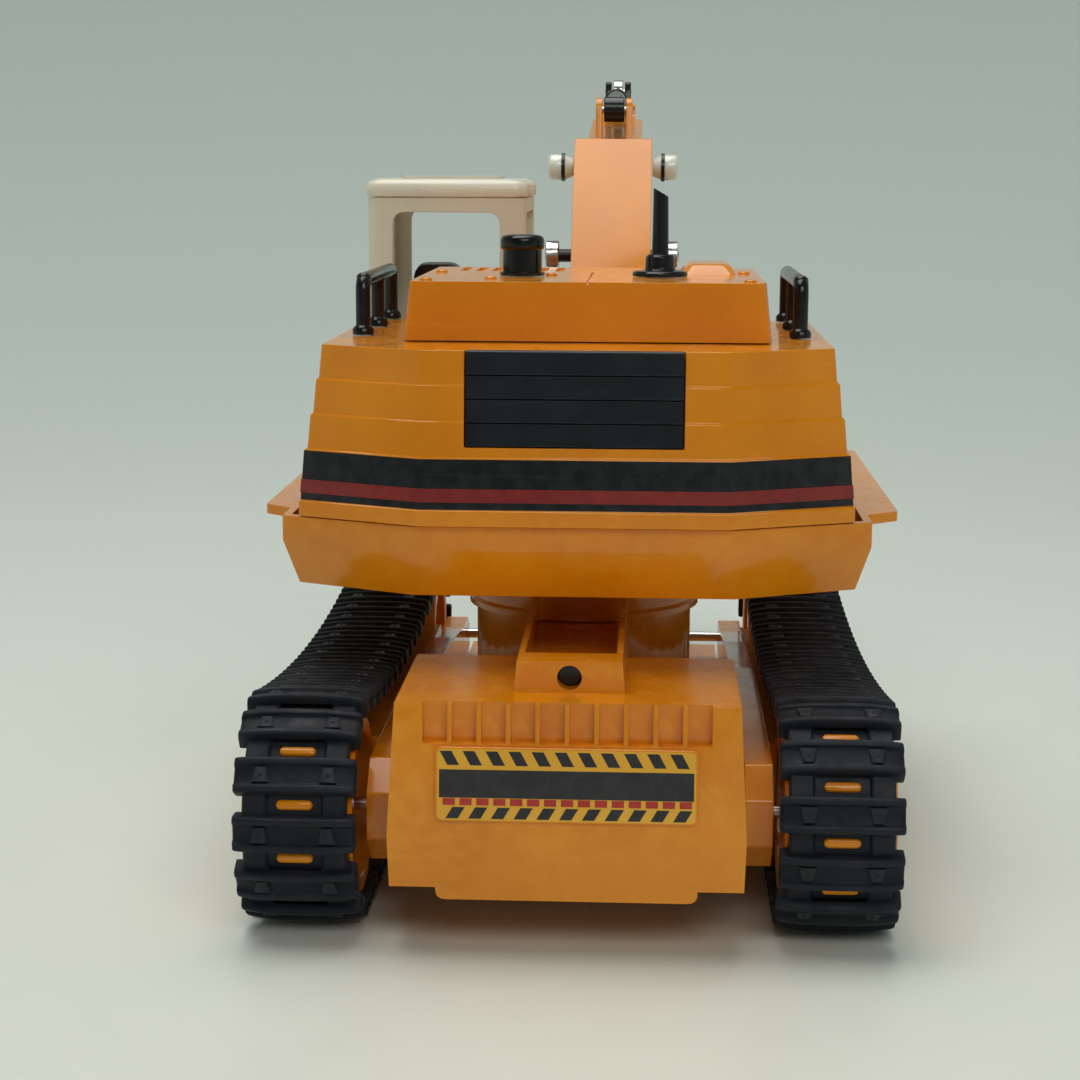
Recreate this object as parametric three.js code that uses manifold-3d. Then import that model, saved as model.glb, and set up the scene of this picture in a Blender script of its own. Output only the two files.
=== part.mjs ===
// Toy excavator on rubber tracks, in millimetres.
// +Z is up, the boom points along -Y and +X is the driver's left.
// The origin lies on the ground, halfway along the whole machine. Heights and lengths below are
// counted from the ground and from the slewing axis of the house.
import * as THREE from 'three';
import { mergeVertices } from 'three/addons/utils/BufferGeometryUtils.js';
import Module from 'manifold-3d';

const wasm = await Module();
wasm.setup();

// ---------------------------------------------------------------- driving dimensions
const GAP = 0.3; // clearance between pieces that touch or turn in each other

// Running gear
const TOOTH_COUNT = 12;
const SHOE_COUNT = 44;
const PITCH_RADIUS = 23;
const TOOTH_RADIUS = 24.1;
const SHOE_RISE = 4; // shoe face above the pitch line
const STRAP_RISE = 1.6; // strap face, and the groove's roof, above the pitch line
const CARCASS_DROP = 1.5; // belt's inner face below the pitch line
const TOP_RUN_SLOPE = THREE.MathUtils.degToRad(8); // how steeply the slack top run leaves a wheel
const WINDOW_LENGTH = 3.8;
const BELT_WIDTH = 27.6;
const WINDOW_WIDTH = 12;
const REAR_AXLE_Y = 95;
const AXLE_DIAMETER = 3;
const WHEEL_WIDTH = 25;
const WHEEL_RIM = 3.6;
const WHEEL_WEB = 10;
const TOOTH_WIDTH = 9.2;
const TOOTH_THICKNESS = 2.8;
const ROLLER_COUNT = 3;
const ROLLER_RADIUS = 11;
const ROLLER_WIDTH = 22;
const ROLLER_AXLE_DIAMETER = 2.5;

// Chassis
const CHASSIS_TOP = 57.6;
const CHASSIS_CREASE = 28;
const CHASSIS_BOTTOM = 15.7;
const CHASSIS_HALF_WIDTH = 39.7; // at the crease
const CHASSIS_REAR_OVERHANG = 28.4; // past the rear axle, at the crease
const CHASSIS_FRONT_OVERHANG = 21.6; // past the front axle
const CHASSIS_WALL = 2.2;
const AXLE_BOX_FRONT_OVERHANG = 24; // of the tall box over the rear axle, in front of that axle
const PAN_HEIGHT = 4.6; // low pan that carries the side frames
const WAIST_HALF_WIDTH = 27.5; // narrow housing in front of the axle box
const WAIST_HEIGHT = 24.3;
const TUB_BOTTOM = 12.9;
const TUB_HALF_WIDTH = 29.2;
const TUB_FLOOR = 2;
const CELL_COUNT = 10;
const CELL_BAND_WIDTH = 64.8;
const CELL_HEIGHT = 9;
const CELL_DEPTH = 2;
const FIN_THICKNESS = 1.2;
const LABEL_WIDTH = 58;
const LABEL_HEIGHT = 16.6;
const LABEL_THICKNESS = 1;
const BOSS_WIDTH = 24.2;
const BOSS_HEIGHT = 7.1;
const BOSS_REAR = 108;
const BOSS_WALL = 1.6;
const BOSS_HOLE_DIAMETER = 5.6;
const SIDE_FRAME_WIDTH = 6.6; // between the chassis and the belt
const TRACK_CENTRE = CHASSIS_HALF_WIDTH + SIDE_FRAME_WIDTH + 3 * GAP + BELT_WIDTH / 2;
const SIDE_FRAME_TOP = 39;
const SIDE_FRAME_BOTTOM = 14.4;
const SIDE_FRAME_NOSE = 9.5; // how far a side frame runs past each axle
const TRACK_BEAM_HEIGHT = 6;

// Drive train and electrics
const GEAR_MODULE = 1;
const GEAR_TEETH = 22;
const PINION_TEETH = 9;
const GEAR_WIDTH = 5;
const GEAR_X = 17;
const MOTOR_RADIUS = 10;
const MOTOR_LENGTH = 25;
const CELL_RADIUS = 7.1; // battery cell
const CELL_LENGTH = 49;
const BATTERY_COUNT = 3;
const SWITCH_TRAVEL = 4;
const SCREW_DIAMETER = 2.4;
const SCREW_HEAD_DIAMETER = 5;

// Slewing joint
const TURRET_RADIUS = 31;
const TURRET_SPLIT = CHASSIS_TOP + 8.4; // height where the turning ring meets the fixed one
const SPINDLE_RADIUS = 9;

// House
const HOUSE_HALF_WIDTH = 60.2; // at the top edge
const DECK_BOTTOM = CHASSIS_TOP + 17;
const DECK_CREASE = DECK_BOTTOM + 11.2;
const DECK_TOP = DECK_BOTTOM + 17.2;
const DECK_HALF_WIDTH = HOUSE_HALF_WIDTH + 9.7;
const DECK_REAR = 88.8;
const DECK_FRONT = -80;
const DECK_WALL = 2.4;
const DECK_BEVEL_SETBACK = 14.5; // how far the corner facets run forward
const FACET_HALF_WIDTH = 37.2; // half width of the flat rear face
const WING_HALF_WIDTH = DECK_HALF_WIDTH + 9.8;
const WING_THICKNESS = 2.5;
const WING_TOP = DECK_TOP - 2.4;
const WING_REAR = 47;
const HOUSE_TOP = DECK_TOP + 40.8;
const HOUSE_REAR = 87.4; // at the top edge
const HOUSE_FRONT = -20;
const HOUSE_WALL = 2;
const BAND_TOP = DECK_TOP + 16;
const BAND_BOTTOM = DECK_TOP + 3.8;
const COURSE_STEP = 0.6;
const GRILLE_HALF_WIDTH = 25;
const GRILLE_BOTTOM = DECK_TOP + 18.9;
const GRILLE_THICKNESS = 3.2;
const HOOD_TOP = HOUSE_TOP + 14.4;
const HOOD_HALF_WIDTH = 44.2;
const HOOD_X = -2;
const HOOD_REAR = 64;
const HOOD_FRONT = -17;
const HOOD_WALL = 2;
const HOOD_DRAFT = 1.4;
const TOWER_Y = 36; // pre-cleaner and exhaust stack stand in one line
const PRECLEANER_X = 15;
const PRECLEANER_RADIUS = 5.4;
const PRECLEANER_HEIGHT = 10.2;
const STACK_X = -19.4;
const STACK_RADIUS = 1.9;
const STACK_HEIGHT = 22.3;
const RAIL_X = HOUSE_HALF_WIDTH - 6.2;
const RAIL_RADIUS = 1.9;
const RAIL_HEIGHT = 15;
const RAIL_REAR = 45;
const RAIL_FRONT = -14;
const CAB_OUTER_X = HOUSE_HALF_WIDTH + 1.6;
const CAB_REAR = -25.5;
const CAB_FRONT = -79;
const CAB_TOP = DECK_TOP + 73.7;
const CAB_SILL = DECK_TOP + 26.2;
const CAB_WALL = 2.4;
const CAB_ROOF_THICKNESS = 5.6;
const CAB_ROOF_LIP = 0.6;
const CAB_POST = 7;

// Boom, arm and bucket, in the pose at rest. Points are [y, height above the deck's underside].
const aboveDeck = (y, height) => [y, DECK_BOTTOM + height];
const BOOM_X = -5;
const BOOM_FOOT = aboveDeck(-58, 29.4);
const BOOM_BEND = aboveDeck(-108, 97.4);
const BOOM_TIP = aboveDeck(-188, 109.4);
const BOOM_WIDTH = 24;
const BOOM_TIP_WIDTH = 17;
const BOOM_DEPTH = 19; // height of the beam at the bend
const ARM_END = aboveDeck(-200, 9.4);
const ARM_WIDTH = 12;
const ARM_HORN = aboveDeck(-197, 125.4);
const PIN_RADIUS = 2;
const CHEEK_THICKNESS = 2.6;
const LAMP_SIZE = 8;
const BOOM_CYLINDER_FOOT = aboveDeck(-79, 11.4);
const BOOM_CYLINDER_HEAD = aboveDeck(-97, 72.4);
const BOOM_CYLINDER_RADIUS = 3;
const BOOM_CYLINDER_X = BOOM_WIDTH / 2 + GAP + CHEEK_THICKNESS + 0.5 + BOOM_CYLINDER_RADIUS;
const ARM_CYLINDER_FOOT = aboveDeck(-117, 117.4);
const ARM_CYLINDER_RADIUS = 3.4;
const BUCKET_CYLINDER_FOOT = aboveDeck(-213, 103.4);
const BUCKET_HORN = aboveDeck(-212, 11.4);
const BUCKET_CYLINDER_RADIUS = 3;
const CAB_INNER_X = BOOM_X + BOOM_CYLINDER_X + BOOM_CYLINDER_RADIUS + 1.5;
const ROD_RATIO = 0.5; // rod radius over barrel radius
const BOOM_ROD_PLAY = 1.2; // clearance of a rod's eye on its pin
const ARM_ROD_PLAY = 1.7;
const BUCKET_ROD_PLAY = 1.9;
const BUCKET_RADIUS = 23;
const BUCKET_WIDTH = 36;
const BUCKET_WALL = 2;
const BUCKET_TOOTH_COUNT = 4;

// ---------------------------------------------------------------- materials
function finish(colour, roughness, metalness = 0) {
  return new THREE.MeshStandardMaterial({ color: colour, roughness, metalness });
}
const yellow = () => finish(0xd98a0c, 0.35);
const black = () => finish(0x17191c, 0.4);
const rubber = () => finish(0x22252a, 0.75);
const cream = () => finish(0xe6e2cf, 0.5);
const steel = () => finish(0xb9babb, 0.25, 1);

// ---------------------------------------------------------------- shape tools
function toSolid(geometry) {
  const plain = geometry.clone();
  for (const key of Object.keys(plain.attributes)) {
    if (key !== 'position') plain.deleteAttribute(key);
  }
  const merged = mergeVertices(plain, 1e-4);
  return new wasm.Manifold(new wasm.Mesh({
    numProp: 3,
    vertProperties: new Float32Array(merged.attributes.position.array),
    triVerts: new Uint32Array(merged.index.array),
  }));
}

function toGeometry(solid) {
  const mesh = solid.getMesh();
  const geometry = new THREE.BufferGeometry();
  geometry.setAttribute('position', new THREE.BufferAttribute(new Float32Array(mesh.vertProperties), 3));
  geometry.setIndex(new THREE.BufferAttribute(new Uint32Array(mesh.triVerts), 1));
  geometry.computeVertexNormals();
  return geometry;
}

function join(...geometries) {
  return toGeometry(geometries.map(toSolid).reduce((sum, solid) => sum.add(solid)));
}

function cut(geometry, ...tools) {
  return toGeometry(tools.map(toSolid).reduce((rest, tool) => rest.subtract(tool), toSolid(geometry)));
}

function block(x0, x1, y0, y1, z0, z1) {
  const box = new THREE.BoxGeometry(x1 - x0, y1 - y0, z1 - z0);
  return box.translate((x0 + x1) / 2, (y0 + y1) / 2, (z0 + z1) / 2);
}

function extrude(points, depth, holes = []) {
  const outline = points.map(([a, b]) => new THREE.Vector2(a, b));
  if (THREE.ShapeUtils.isClockWise(outline)) outline.reverse();
  const shape = new THREE.Shape(outline);
  for (const [a, b, radius] of holes) {
    shape.holes.push(new THREE.Path().absarc(a, b, radius, 0, 2 * Math.PI, true));
  }
  return new THREE.ExtrudeGeometry(shape, { depth, bevelEnabled: false, curveSegments: 6 });
}

// An outline of [y, z] points made solid from x0 to x1.
function sideProfile(points, x0, x1, holes = []) {
  const turn = new THREE.Matrix4().makeBasis(
    new THREE.Vector3(0, 1, 0), new THREE.Vector3(0, 0, 1), new THREE.Vector3(1, 0, 0));
  return extrude(points, x1 - x0, holes).applyMatrix4(turn).translate(x0, 0, 0);
}

// A ring or rod turned about the X axis from [x, radius] points.
function turnedX(points, segments) {
  const profile = points.map(([x, radius]) => new THREE.Vector2(radius, x));
  return new THREE.LatheGeometry(profile, segments).rotateZ(-Math.PI / 2);
}

// A ring or rod turned about the Z axis from [radius, z] points.
function turnedZ(points, segments) {
  const profile = points.map(([radius, z]) => new THREE.Vector2(radius, z));
  return new THREE.LatheGeometry(profile, segments).rotateX(Math.PI / 2);
}

function closedLoop(points) {
  return [...points, points[0]];
}

function rodX(x0, x1, y, z, radius, segments = 12) {
  const rod = turnedX([[x0, 0], [x0, radius], [x1, radius], [x1, 0]], segments);
  return rod.translate(0, y, z);
}

function rodZ(x, y, z0, z1, radius, segments = 12) {
  const rod = turnedZ([[0, z0], [radius, z0], [radius, z1], [0, z1]], segments);
  return rod.translate(x, y, 0);
}

// A solid through matching outlines, each { z, points }, the lowest first.
function loft(levels) {
  const count = levels[0].points.length;
  const positions = levels.flatMap(({ z, points }) => points.flatMap(([x, y]) => [x, y, z]));
  const index = [];
  for (let level = 0; level + 1 < levels.length; level += 1) {
    for (let i = 0; i < count; i += 1) {
      const a = level * count + i;
      const b = level * count + (i + 1) % count;
      index.push(a, b, b + count, a, b + count, a + count);
    }
  }
  const caps = (points) => THREE.ShapeUtils.triangulateShape(
    points.map(([x, y]) => new THREE.Vector2(x, y)), []);
  const last = (levels.length - 1) * count;
  for (const [a, b, c] of caps(levels[0].points)) index.push(c, b, a);
  for (const [a, b, c] of caps(levels[levels.length - 1].points)) index.push(last + a, last + b, last + c);
  const geometry = new THREE.BufferGeometry();
  geometry.setAttribute('position', new THREE.Float32BufferAttribute(positions, 3));
  geometry.setIndex(index);
  return geometry;
}

function rectangle(halfWidth, y0, y1, x = 0) {
  return [[x - halfWidth, y0], [x + halfWidth, y0], [x + halfWidth, y1], [x - halfWidth, y1]];
}

// The house's plan: square at the front, with a flat rear face between two corner facets.
function housePlan(halfWidth, facet, rear, setback, front) {
  return [
    [-halfWidth, front], [halfWidth, front], [halfWidth, rear - setback],
    [facet, rear], [-facet, rear], [-halfWidth, rear - setback],
  ];
}

function piece(parent, name, geometry, material, place = [0, 0, 0]) {
  const mesh = new THREE.Mesh(geometry, material);
  mesh.name = name;
  mesh.position.set(...place);
  parent.add(mesh);
  return mesh;
}

const sides = [['left', 1], ['right', -1]];

// ---------------------------------------------------------------- belt path
const PITCH = 2 * Math.PI * PITCH_RADIUS / TOOTH_COUNT;
const AXLE_Z = PITCH_RADIUS + SHOE_RISE;
const slope = Math.tan(TOP_RUN_SLOPE);
const sagStretch = (Math.sqrt(1 + slope ** 2) + Math.asinh(slope) / slope) / 2;
const lostSpan = 2 * PITCH_RADIUS * Math.sin(TOP_RUN_SLOPE);
const WHEELBASE = (SHOE_COUNT * PITCH - 2 * PITCH_RADIUS * (Math.PI + TOP_RUN_SLOPE)
  + lostSpan * sagStretch) / (1 + sagStretch);
const FRONT_AXLE_Y = REAR_AXLE_Y - WHEELBASE;
const CHASSIS_REAR = REAR_AXLE_Y + CHASSIS_REAR_OVERHANG;
const CHASSIS_FRONT = FRONT_AXLE_Y - CHASSIS_FRONT_OVERHANG;
const BELT_INNER_RADIUS = PITCH_RADIUS - CARCASS_DROP;
// The shoes are flat, so the wheels clear the middle of a shoe rather than its ends.
const shoeHalfAngle = (PITCH - WINDOW_LENGTH) / 2 / PITCH_RADIUS;
const WHEEL_RADIUS = BELT_INNER_RADIUS * Math.cos(shoeHalfAngle) - GAP;

function onArc(centreY, angle) {
  const normal = [Math.cos(angle), Math.sin(angle)];
  return {
    y: centreY + PITCH_RADIUS * normal[0],
    z: AXLE_Z + PITCH_RADIUS * normal[1],
    normal,
  };
}

// Point and outward normal of the pitch line, measured from the rearmost point upwards.
function beltPoint(distance) {
  const total = SHOE_COUNT * PITCH;
  let s = ((distance % total) + total) % total;
  const upperArc = PITCH_RADIUS * (Math.PI / 2 + TOP_RUN_SLOPE);
  if (s < upperArc) return onArc(REAR_AXLE_Y, s / PITCH_RADIUS);
  s -= upperArc;
  const span = WHEELBASE - lostSpan;
  const topRun = span * sagStretch;
  if (s < topRun) {
    const share = s / topRun;
    const tilt = Math.atan(slope * (1 - 2 * share));
    return {
      y: REAR_AXLE_Y - lostSpan / 2 - share * span,
      z: AXLE_Z + PITCH_RADIUS * Math.cos(TOP_RUN_SLOPE) - slope * span * share * (1 - share),
      normal: [-Math.sin(tilt), Math.cos(tilt)],
    };
  }
  s -= topRun;
  const frontArc = PITCH_RADIUS * (Math.PI + TOP_RUN_SLOPE);
  if (s < frontArc) return onArc(FRONT_AXLE_Y, Math.PI / 2 - TOP_RUN_SLOPE + s / PITCH_RADIUS);
  s -= frontArc;
  if (s < WHEELBASE) {
    return { y: FRONT_AXLE_Y + s, z: AXLE_Z - PITCH_RADIUS, normal: [0, -1] };
  }
  s -= WHEELBASE;
  return onArc(REAR_AXLE_Y, -Math.PI / 2 + s / PITCH_RADIUS);
}

// The belt is a ring of cells: rows along it, columns across it and two layers through it.
// A shoe row is full but for the groove that clears the teeth; a window row holds two straps.
function beltGeometry(centreX, firstTooth) {
  const half = BELT_WIDTH / 2;
  const inner = WINDOW_WIDTH / 2;
  const columns = [-half, -inner, inner, half];
  const levels = [-CARCASS_DROP, STRAP_RISE, SHOE_RISE];
  const rows = [];
  for (let shoe = 0; shoe < SHOE_COUNT; shoe += 1) {
    const window = firstTooth * PITCH_RADIUS + shoe * PITCH;
    rows.push(window - WINDOW_LENGTH / 2, window + WINDOW_LENGTH / 2);
  }
  const positions = [];
  for (const row of rows) {
    const { y, z, normal } = beltPoint(row);
    for (const x of columns) {
      for (const level of levels) {
        positions.push(centreX + x, y + level * normal[0], z + level * normal[1]);
      }
    }
  }
  const corner = (row, column, level) =>
    ((row % rows.length) * columns.length + column) * levels.length + level;
  const isWindow = (row) => row % 2 === 0;
  const filled = (row, column, layer) => {
    if (column < 0 || column > 2 || layer < 0 || layer > 1) return false;
    const middle = column === 1;
    return isWindow(row) ? layer === 0 && !middle : layer === 1 || !middle;
  };
  const index = [];
  const quad = (a, b, c, d) => index.push(a, c, b, a, d, c);
  for (let row = 0; row < rows.length; row += 1) {
    const before = (row + rows.length - 1) % rows.length;
    for (let column = 0; column < 3; column += 1) {
      for (let layer = 0; layer < 2; layer += 1) {
        if (!filled(row, column, layer)) continue;
        const at = (r, c, l) => corner(row + r, column + c, layer + l);
        if (!filled(row, column, layer + 1)) quad(at(0, 0, 1), at(0, 1, 1), at(1, 1, 1), at(1, 0, 1));
        if (!filled(row, column, layer - 1)) quad(at(0, 0, 0), at(1, 0, 0), at(1, 1, 0), at(0, 1, 0));
        if (!filled(row, column - 1, layer)) quad(at(0, 0, 0), at(0, 0, 1), at(1, 0, 1), at(1, 0, 0));
        if (!filled(row, column + 1, layer)) quad(at(0, 1, 0), at(1, 1, 0), at(1, 1, 1), at(0, 1, 1));
        if (!filled(row + 1, column, layer)) quad(at(1, 0, 0), at(1, 0, 1), at(1, 1, 1), at(1, 1, 0));
        if (!filled(before, column, layer)) quad(at(0, 0, 0), at(0, 1, 0), at(0, 1, 1), at(0, 0, 1));
      }
    }
  }
  const geometry = new THREE.BufferGeometry();
  geometry.setAttribute('position', new THREE.Float32BufferAttribute(positions, 3));
  geometry.setIndex(index);
  return toGeometry(toSolid(geometry));
}

// ---------------------------------------------------------------- wheels and gears
function wheelGeometry() {
  const rimX = WHEEL_WIDTH / 2;
  const webX = WHEEL_WEB / 2;
  const bore = AXLE_DIAMETER / 2 + GAP;
  const rimInner = WHEEL_RADIUS - WHEEL_RIM;
  return turnedX(closedLoop([
    [-webX, bore], [-webX, rimInner], [-rimX, rimInner], [-rimX, WHEEL_RADIUS],
    [rimX, WHEEL_RADIUS], [rimX, rimInner], [webX, rimInner], [webX, bore],
  ]), 18);
}

function sprocketGeometry(firstTooth) {
  const teeth = [];
  for (let i = 0; i < TOOTH_COUNT; i += 1) {
    const angle = firstTooth + i * 2 * Math.PI / TOOTH_COUNT;
    const tooth = block(-TOOTH_WIDTH / 2, TOOTH_WIDTH / 2, WHEEL_RADIUS - 1.5, TOOTH_RADIUS,
      -TOOTH_THICKNESS / 2, TOOTH_THICKNESS / 2);
    teeth.push(tooth.rotateX(angle));
  }
  return join(wheelGeometry(), ...teeth);
}

function gearGeometry(toothCount, bore, firstTooth) {
  const pitchRadius = GEAR_MODULE * toothCount / 2;
  const tip = pitchRadius + 0.75 * GEAR_MODULE;
  const root = pitchRadius - 1.05 * GEAR_MODULE;
  const points = [];
  for (let i = 0; i < toothCount; i += 1) {
    const middle = firstTooth + i * 2 * Math.PI / toothCount;
    const rootHalf = 0.8 * GEAR_MODULE / root;
    const tipHalf = 0.3 * GEAR_MODULE / tip;
    for (const [radius, angle] of [[root, -rootHalf], [tip, -tipHalf], [tip, tipHalf], [root, rootHalf]]) {
      points.push([radius * Math.cos(middle + angle), radius * Math.sin(middle + angle)]);
    }
  }
  const holes = bore > 0 ? [[0, 0, bore]] : [];
  return sideProfile(points, -GEAR_WIDTH / 2, GEAR_WIDTH / 2, holes);
}

function screwGeometry(length) {
  const shank = SCREW_DIAMETER / 2;
  const head = SCREW_HEAD_DIAMETER / 2;
  return turnedZ([[0, -1.5], [head, -1.5], [head, 0], [shank, 0], [shank, length], [0, length]], 12);
}

// ---------------------------------------------------------------- undercarriage
const machine = new THREE.Group();
const undercarriage = new THREE.Group();
machine.add(undercarriage);

const AXLE_HOLE = AXLE_DIAMETER / 2 + GAP;
const ROLLER_HOLE = ROLLER_AXLE_DIAMETER / 2 + GAP;
const ROLLER_Z = AXLE_Z - BELT_INNER_RADIUS + GAP + ROLLER_RADIUS;
const rollerY = (i) => REAR_AXLE_Y - WHEELBASE * (i + 1) / (ROLLER_COUNT + 1);
const SIDE_FRAME_X0 = CHASSIS_HALF_WIDTH + GAP;
const SIDE_FRAME_X1 = SIDE_FRAME_X0 + SIDE_FRAME_WIDTH;
const reach = TRACK_CENTRE + WHEEL_WIDTH / 2;

function axleHoles(x0, x1) {
  const holes = [
    rodX(x0, x1, REAR_AXLE_Y, AXLE_Z, AXLE_HOLE),
    rodX(x0, x1, FRONT_AXLE_Y, AXLE_Z, AXLE_HOLE),
  ];
  for (let i = 0; i < ROLLER_COUNT; i += 1) {
    // roller axles drop into slots that are open at the bottom
    holes.push(rodX(x0, x1, rollerY(i), ROLLER_Z, ROLLER_HOLE));
    holes.push(block(x0, x1, rollerY(i) - ROLLER_HOLE, rollerY(i) + ROLLER_HOLE, TUB_BOTTOM + TUB_FLOOR,
      ROLLER_Z));
  }
  return holes;
}

const rearLean = 3.4;
const endTuck = 2.7; // of the chassis ends, from the crease down
const sideLean = 1.5;
const sideTuck = 0.2;
const BOX_FRONT = REAR_AXLE_Y - AXLE_BOX_FRONT_OVERHANG;
const PAN_TOP = CHASSIS_BOTTOM + PAN_HEIGHT;
const WAIST_TOP = CHASSIS_BOTTOM + WAIST_HEIGHT;
function chassisPlan(inset, z) {
  const lean = z > CHASSIS_CREASE ? (z - CHASSIS_CREASE) / (CHASSIS_TOP - CHASSIS_CREASE) : 0;
  const tuck = z < CHASSIS_CREASE ? (CHASSIS_CREASE - z) / (CHASSIS_CREASE - CHASSIS_BOTTOM) : 0;
  const halfWidth = CHASSIS_HALF_WIDTH - sideLean * lean - sideTuck * tuck - inset;
  const rear = CHASSIS_REAR - rearLean * lean - endTuck * tuck - inset;
  return { z, points: rectangle(halfWidth, BOX_FRONT + inset, rear) };
}

// The housings that make up the chassis: whole with no inset, their hollows with the wall as inset.
function chassisHousings(inset) {
  const bottom = CHASSIS_BOTTOM - (inset > 0 ? 1 : 0);
  const joint = BOX_FRONT + inset + 1;
  const front = CHASSIS_FRONT + inset + endTuck;
  const box = loft([bottom, CHASSIS_CREASE, CHASSIS_TOP - inset].map((z) => chassisPlan(inset, z)));
  const panHalf = CHASSIS_HALF_WIDTH - sideTuck - inset;
  const pan = block(-panHalf, panHalf, front, joint, bottom, PAN_TOP - inset);
  const waistHalf = WAIST_HALF_WIDTH - inset;
  const waist = block(-waistHalf, waistHalf, front + 2, joint, bottom, WAIST_TOP - inset);
  const neckRadius = inset > 0 ? waistHalf - 0.5 : TURRET_RADIUS - 2;
  const neck = rodZ(0, 0, WAIST_TOP - 1 - inset, CHASSIS_TOP - inset, neckRadius, 32);
  const spineHalf = BOSS_WIDTH / 2 - inset;
  const spine = block(-spineHalf, spineHalf, neckRadius - 5, joint, WAIST_TOP - 1 - inset,
    CHASSIS_TOP - inset);
  return [box, pan, waist, neck, spine];
}

const CELL_BACK = CHASSIS_REAR - rearLean - CELL_DEPTH;
const screwPlaces = [['front', CHASSIS_FRONT + 12], ['rear', CHASSIS_REAR - 18]];

function chassisShell() {
  const outer = join(...chassisHousings(0));
  const roof = CHASSIS_TOP - CHASSIS_WALL;
  const cells = [];
  const cellPitch = CELL_BAND_WIDTH / CELL_COUNT;
  for (let i = 0; i < CELL_COUNT; i += 1) {
    const x = -CELL_BAND_WIDTH / 2 + i * cellPitch;
    cells.push(block(x + FIN_THICKNESS / 2, x + cellPitch - FIN_THICKNESS / 2, CELL_BACK, CHASSIS_REAR + 1,
      CHASSIS_TOP - CELL_HEIGHT, CHASSIS_TOP + 1));
  }
  const backing = block(-CELL_BAND_WIDTH / 2 - 2, CELL_BAND_WIDTH / 2 + 2, CELL_BACK - CHASSIS_WALL,
    CELL_BACK + 0.5, CHASSIS_TOP - CELL_HEIGHT - 3, roof + 1);
  const bossHalf = BOSS_WIDTH / 2;
  const bossTop = CHASSIS_TOP + BOSS_HEIGHT;
  const bossFront = TURRET_RADIUS + GAP;
  const boss = block(-bossHalf, bossHalf, bossFront, BOSS_REAR, CHASSIS_TOP - 1, bossTop);
  const channel = block(-bossHalf + BOSS_WALL, bossHalf - BOSS_WALL, bossFront - 1, BOSS_REAR - BOSS_WALL,
    CHASSIS_TOP, bossTop + 1);
  const bossHole = rodX(-5, 5, 0, 0, BOSS_HOLE_DIAMETER / 2, 20).rotateZ(Math.PI / 2)
    .translate(0, BOSS_REAR, CHASSIS_TOP + BOSS_HEIGHT / 2 - 0.2);
  const posts = screwPlaces.map(([, y]) => rodZ(0, y, CHASSIS_BOTTOM + 2 + GAP,
    (y > BOX_FRONT ? roof : WAIST_TOP - CHASSIS_WALL) + 1, SCREW_DIAMETER / 2 + 2, 12));
  const bores = screwPlaces.map(([, y]) =>
    rodZ(0, y, CHASSIS_BOTTOM, 32, SCREW_DIAMETER / 2 + GAP, 12));
  const spindleHole = rodZ(0, 0, roof - 1, CHASSIS_TOP + 1, SPINDLE_RADIUS + 2 * GAP, 24);
  const hollow = join(cut(outer, ...chassisHousings(CHASSIS_WALL)), backing, boss, ...posts);
  return cut(hollow, ...cells, channel, bossHole, ...bores, spindleHole,
    ...axleHoles(-CHASSIS_HALF_WIDTH - 1, CHASSIS_HALF_WIDTH + 1));
}
piece(undercarriage, 'chassis_shell', chassisShell(), yellow());

const batterySpan = BATTERY_COUNT * (2 * CELL_RADIUS + 0.4);
const BATTERY_Y = (rollerY(1) + rollerY(2)) / 2;
const BATTERY_Z = TUB_BOTTOM + TUB_FLOOR + GAP + CELL_RADIUS;
const DOOR_HALF_WIDTH = CELL_LENGTH / 2 + 1;
const DOOR_HALF_LENGTH = batterySpan / 2 - 1;
const SWITCH_X = 18;
const SWITCH_Y = 66;

function bellyPlate() {
  const flange = block(-CHASSIS_HALF_WIDTH + CHASSIS_WALL + 1, CHASSIS_HALF_WIDTH - CHASSIS_WALL - 1,
    CHASSIS_FRONT + CHASSIS_WALL + 4, CHASSIS_REAR - CHASSIS_WALL - 4, CHASSIS_BOTTOM, CHASSIS_BOTTOM + 2);
  const tubFront = CHASSIS_FRONT + 8;
  const tubRear = CHASSIS_REAR - endTuck - CHASSIS_WALL - 1;
  const tub = block(-TUB_HALF_WIDTH, TUB_HALF_WIDTH, tubFront, tubRear, TUB_BOTTOM, CHASSIS_BOTTOM + 1);
  const hollow = block(-TUB_HALF_WIDTH + 2, TUB_HALF_WIDTH - 2, tubFront + 2, tubRear - 2,
    TUB_BOTTOM + TUB_FLOOR, CHASSIS_BOTTOM + 3);
  const doorway = block(-DOOR_HALF_WIDTH, DOOR_HALF_WIDTH, BATTERY_Y - DOOR_HALF_LENGTH,
    BATTERY_Y + DOOR_HALF_LENGTH, TUB_BOTTOM - 1, CHASSIS_BOTTOM + 3);
  const switchSlot = block(SWITCH_X - 2 - GAP, SWITCH_X + 2 + GAP, SWITCH_Y - 3 - GAP,
    SWITCH_Y + 3 + GAP + SWITCH_TRAVEL, TUB_BOTTOM - 1, TUB_BOTTOM + TUB_FLOOR + 1);
  const screwHoles = screwPlaces.map(([, y]) =>
    rodZ(0, y, TUB_BOTTOM - 1, CHASSIS_BOTTOM + 3, SCREW_DIAMETER / 2 + GAP, 12));
  return cut(join(flange, tub), hollow, doorway, switchSlot, ...screwHoles,
    ...axleHoles(-CHASSIS_HALF_WIDTH, CHASSIS_HALF_WIDTH).slice(2));
}
piece(undercarriage, 'belly_plate', bellyPlate(), yellow());
piece(undercarriage, 'battery_door', block(-DOOR_HALF_WIDTH + GAP, DOOR_HALF_WIDTH - GAP,
  BATTERY_Y - DOOR_HALF_LENGTH + GAP, BATTERY_Y + DOOR_HALF_LENGTH - GAP, TUB_BOTTOM, TUB_BOTTOM + TUB_FLOOR),
yellow());

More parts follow.
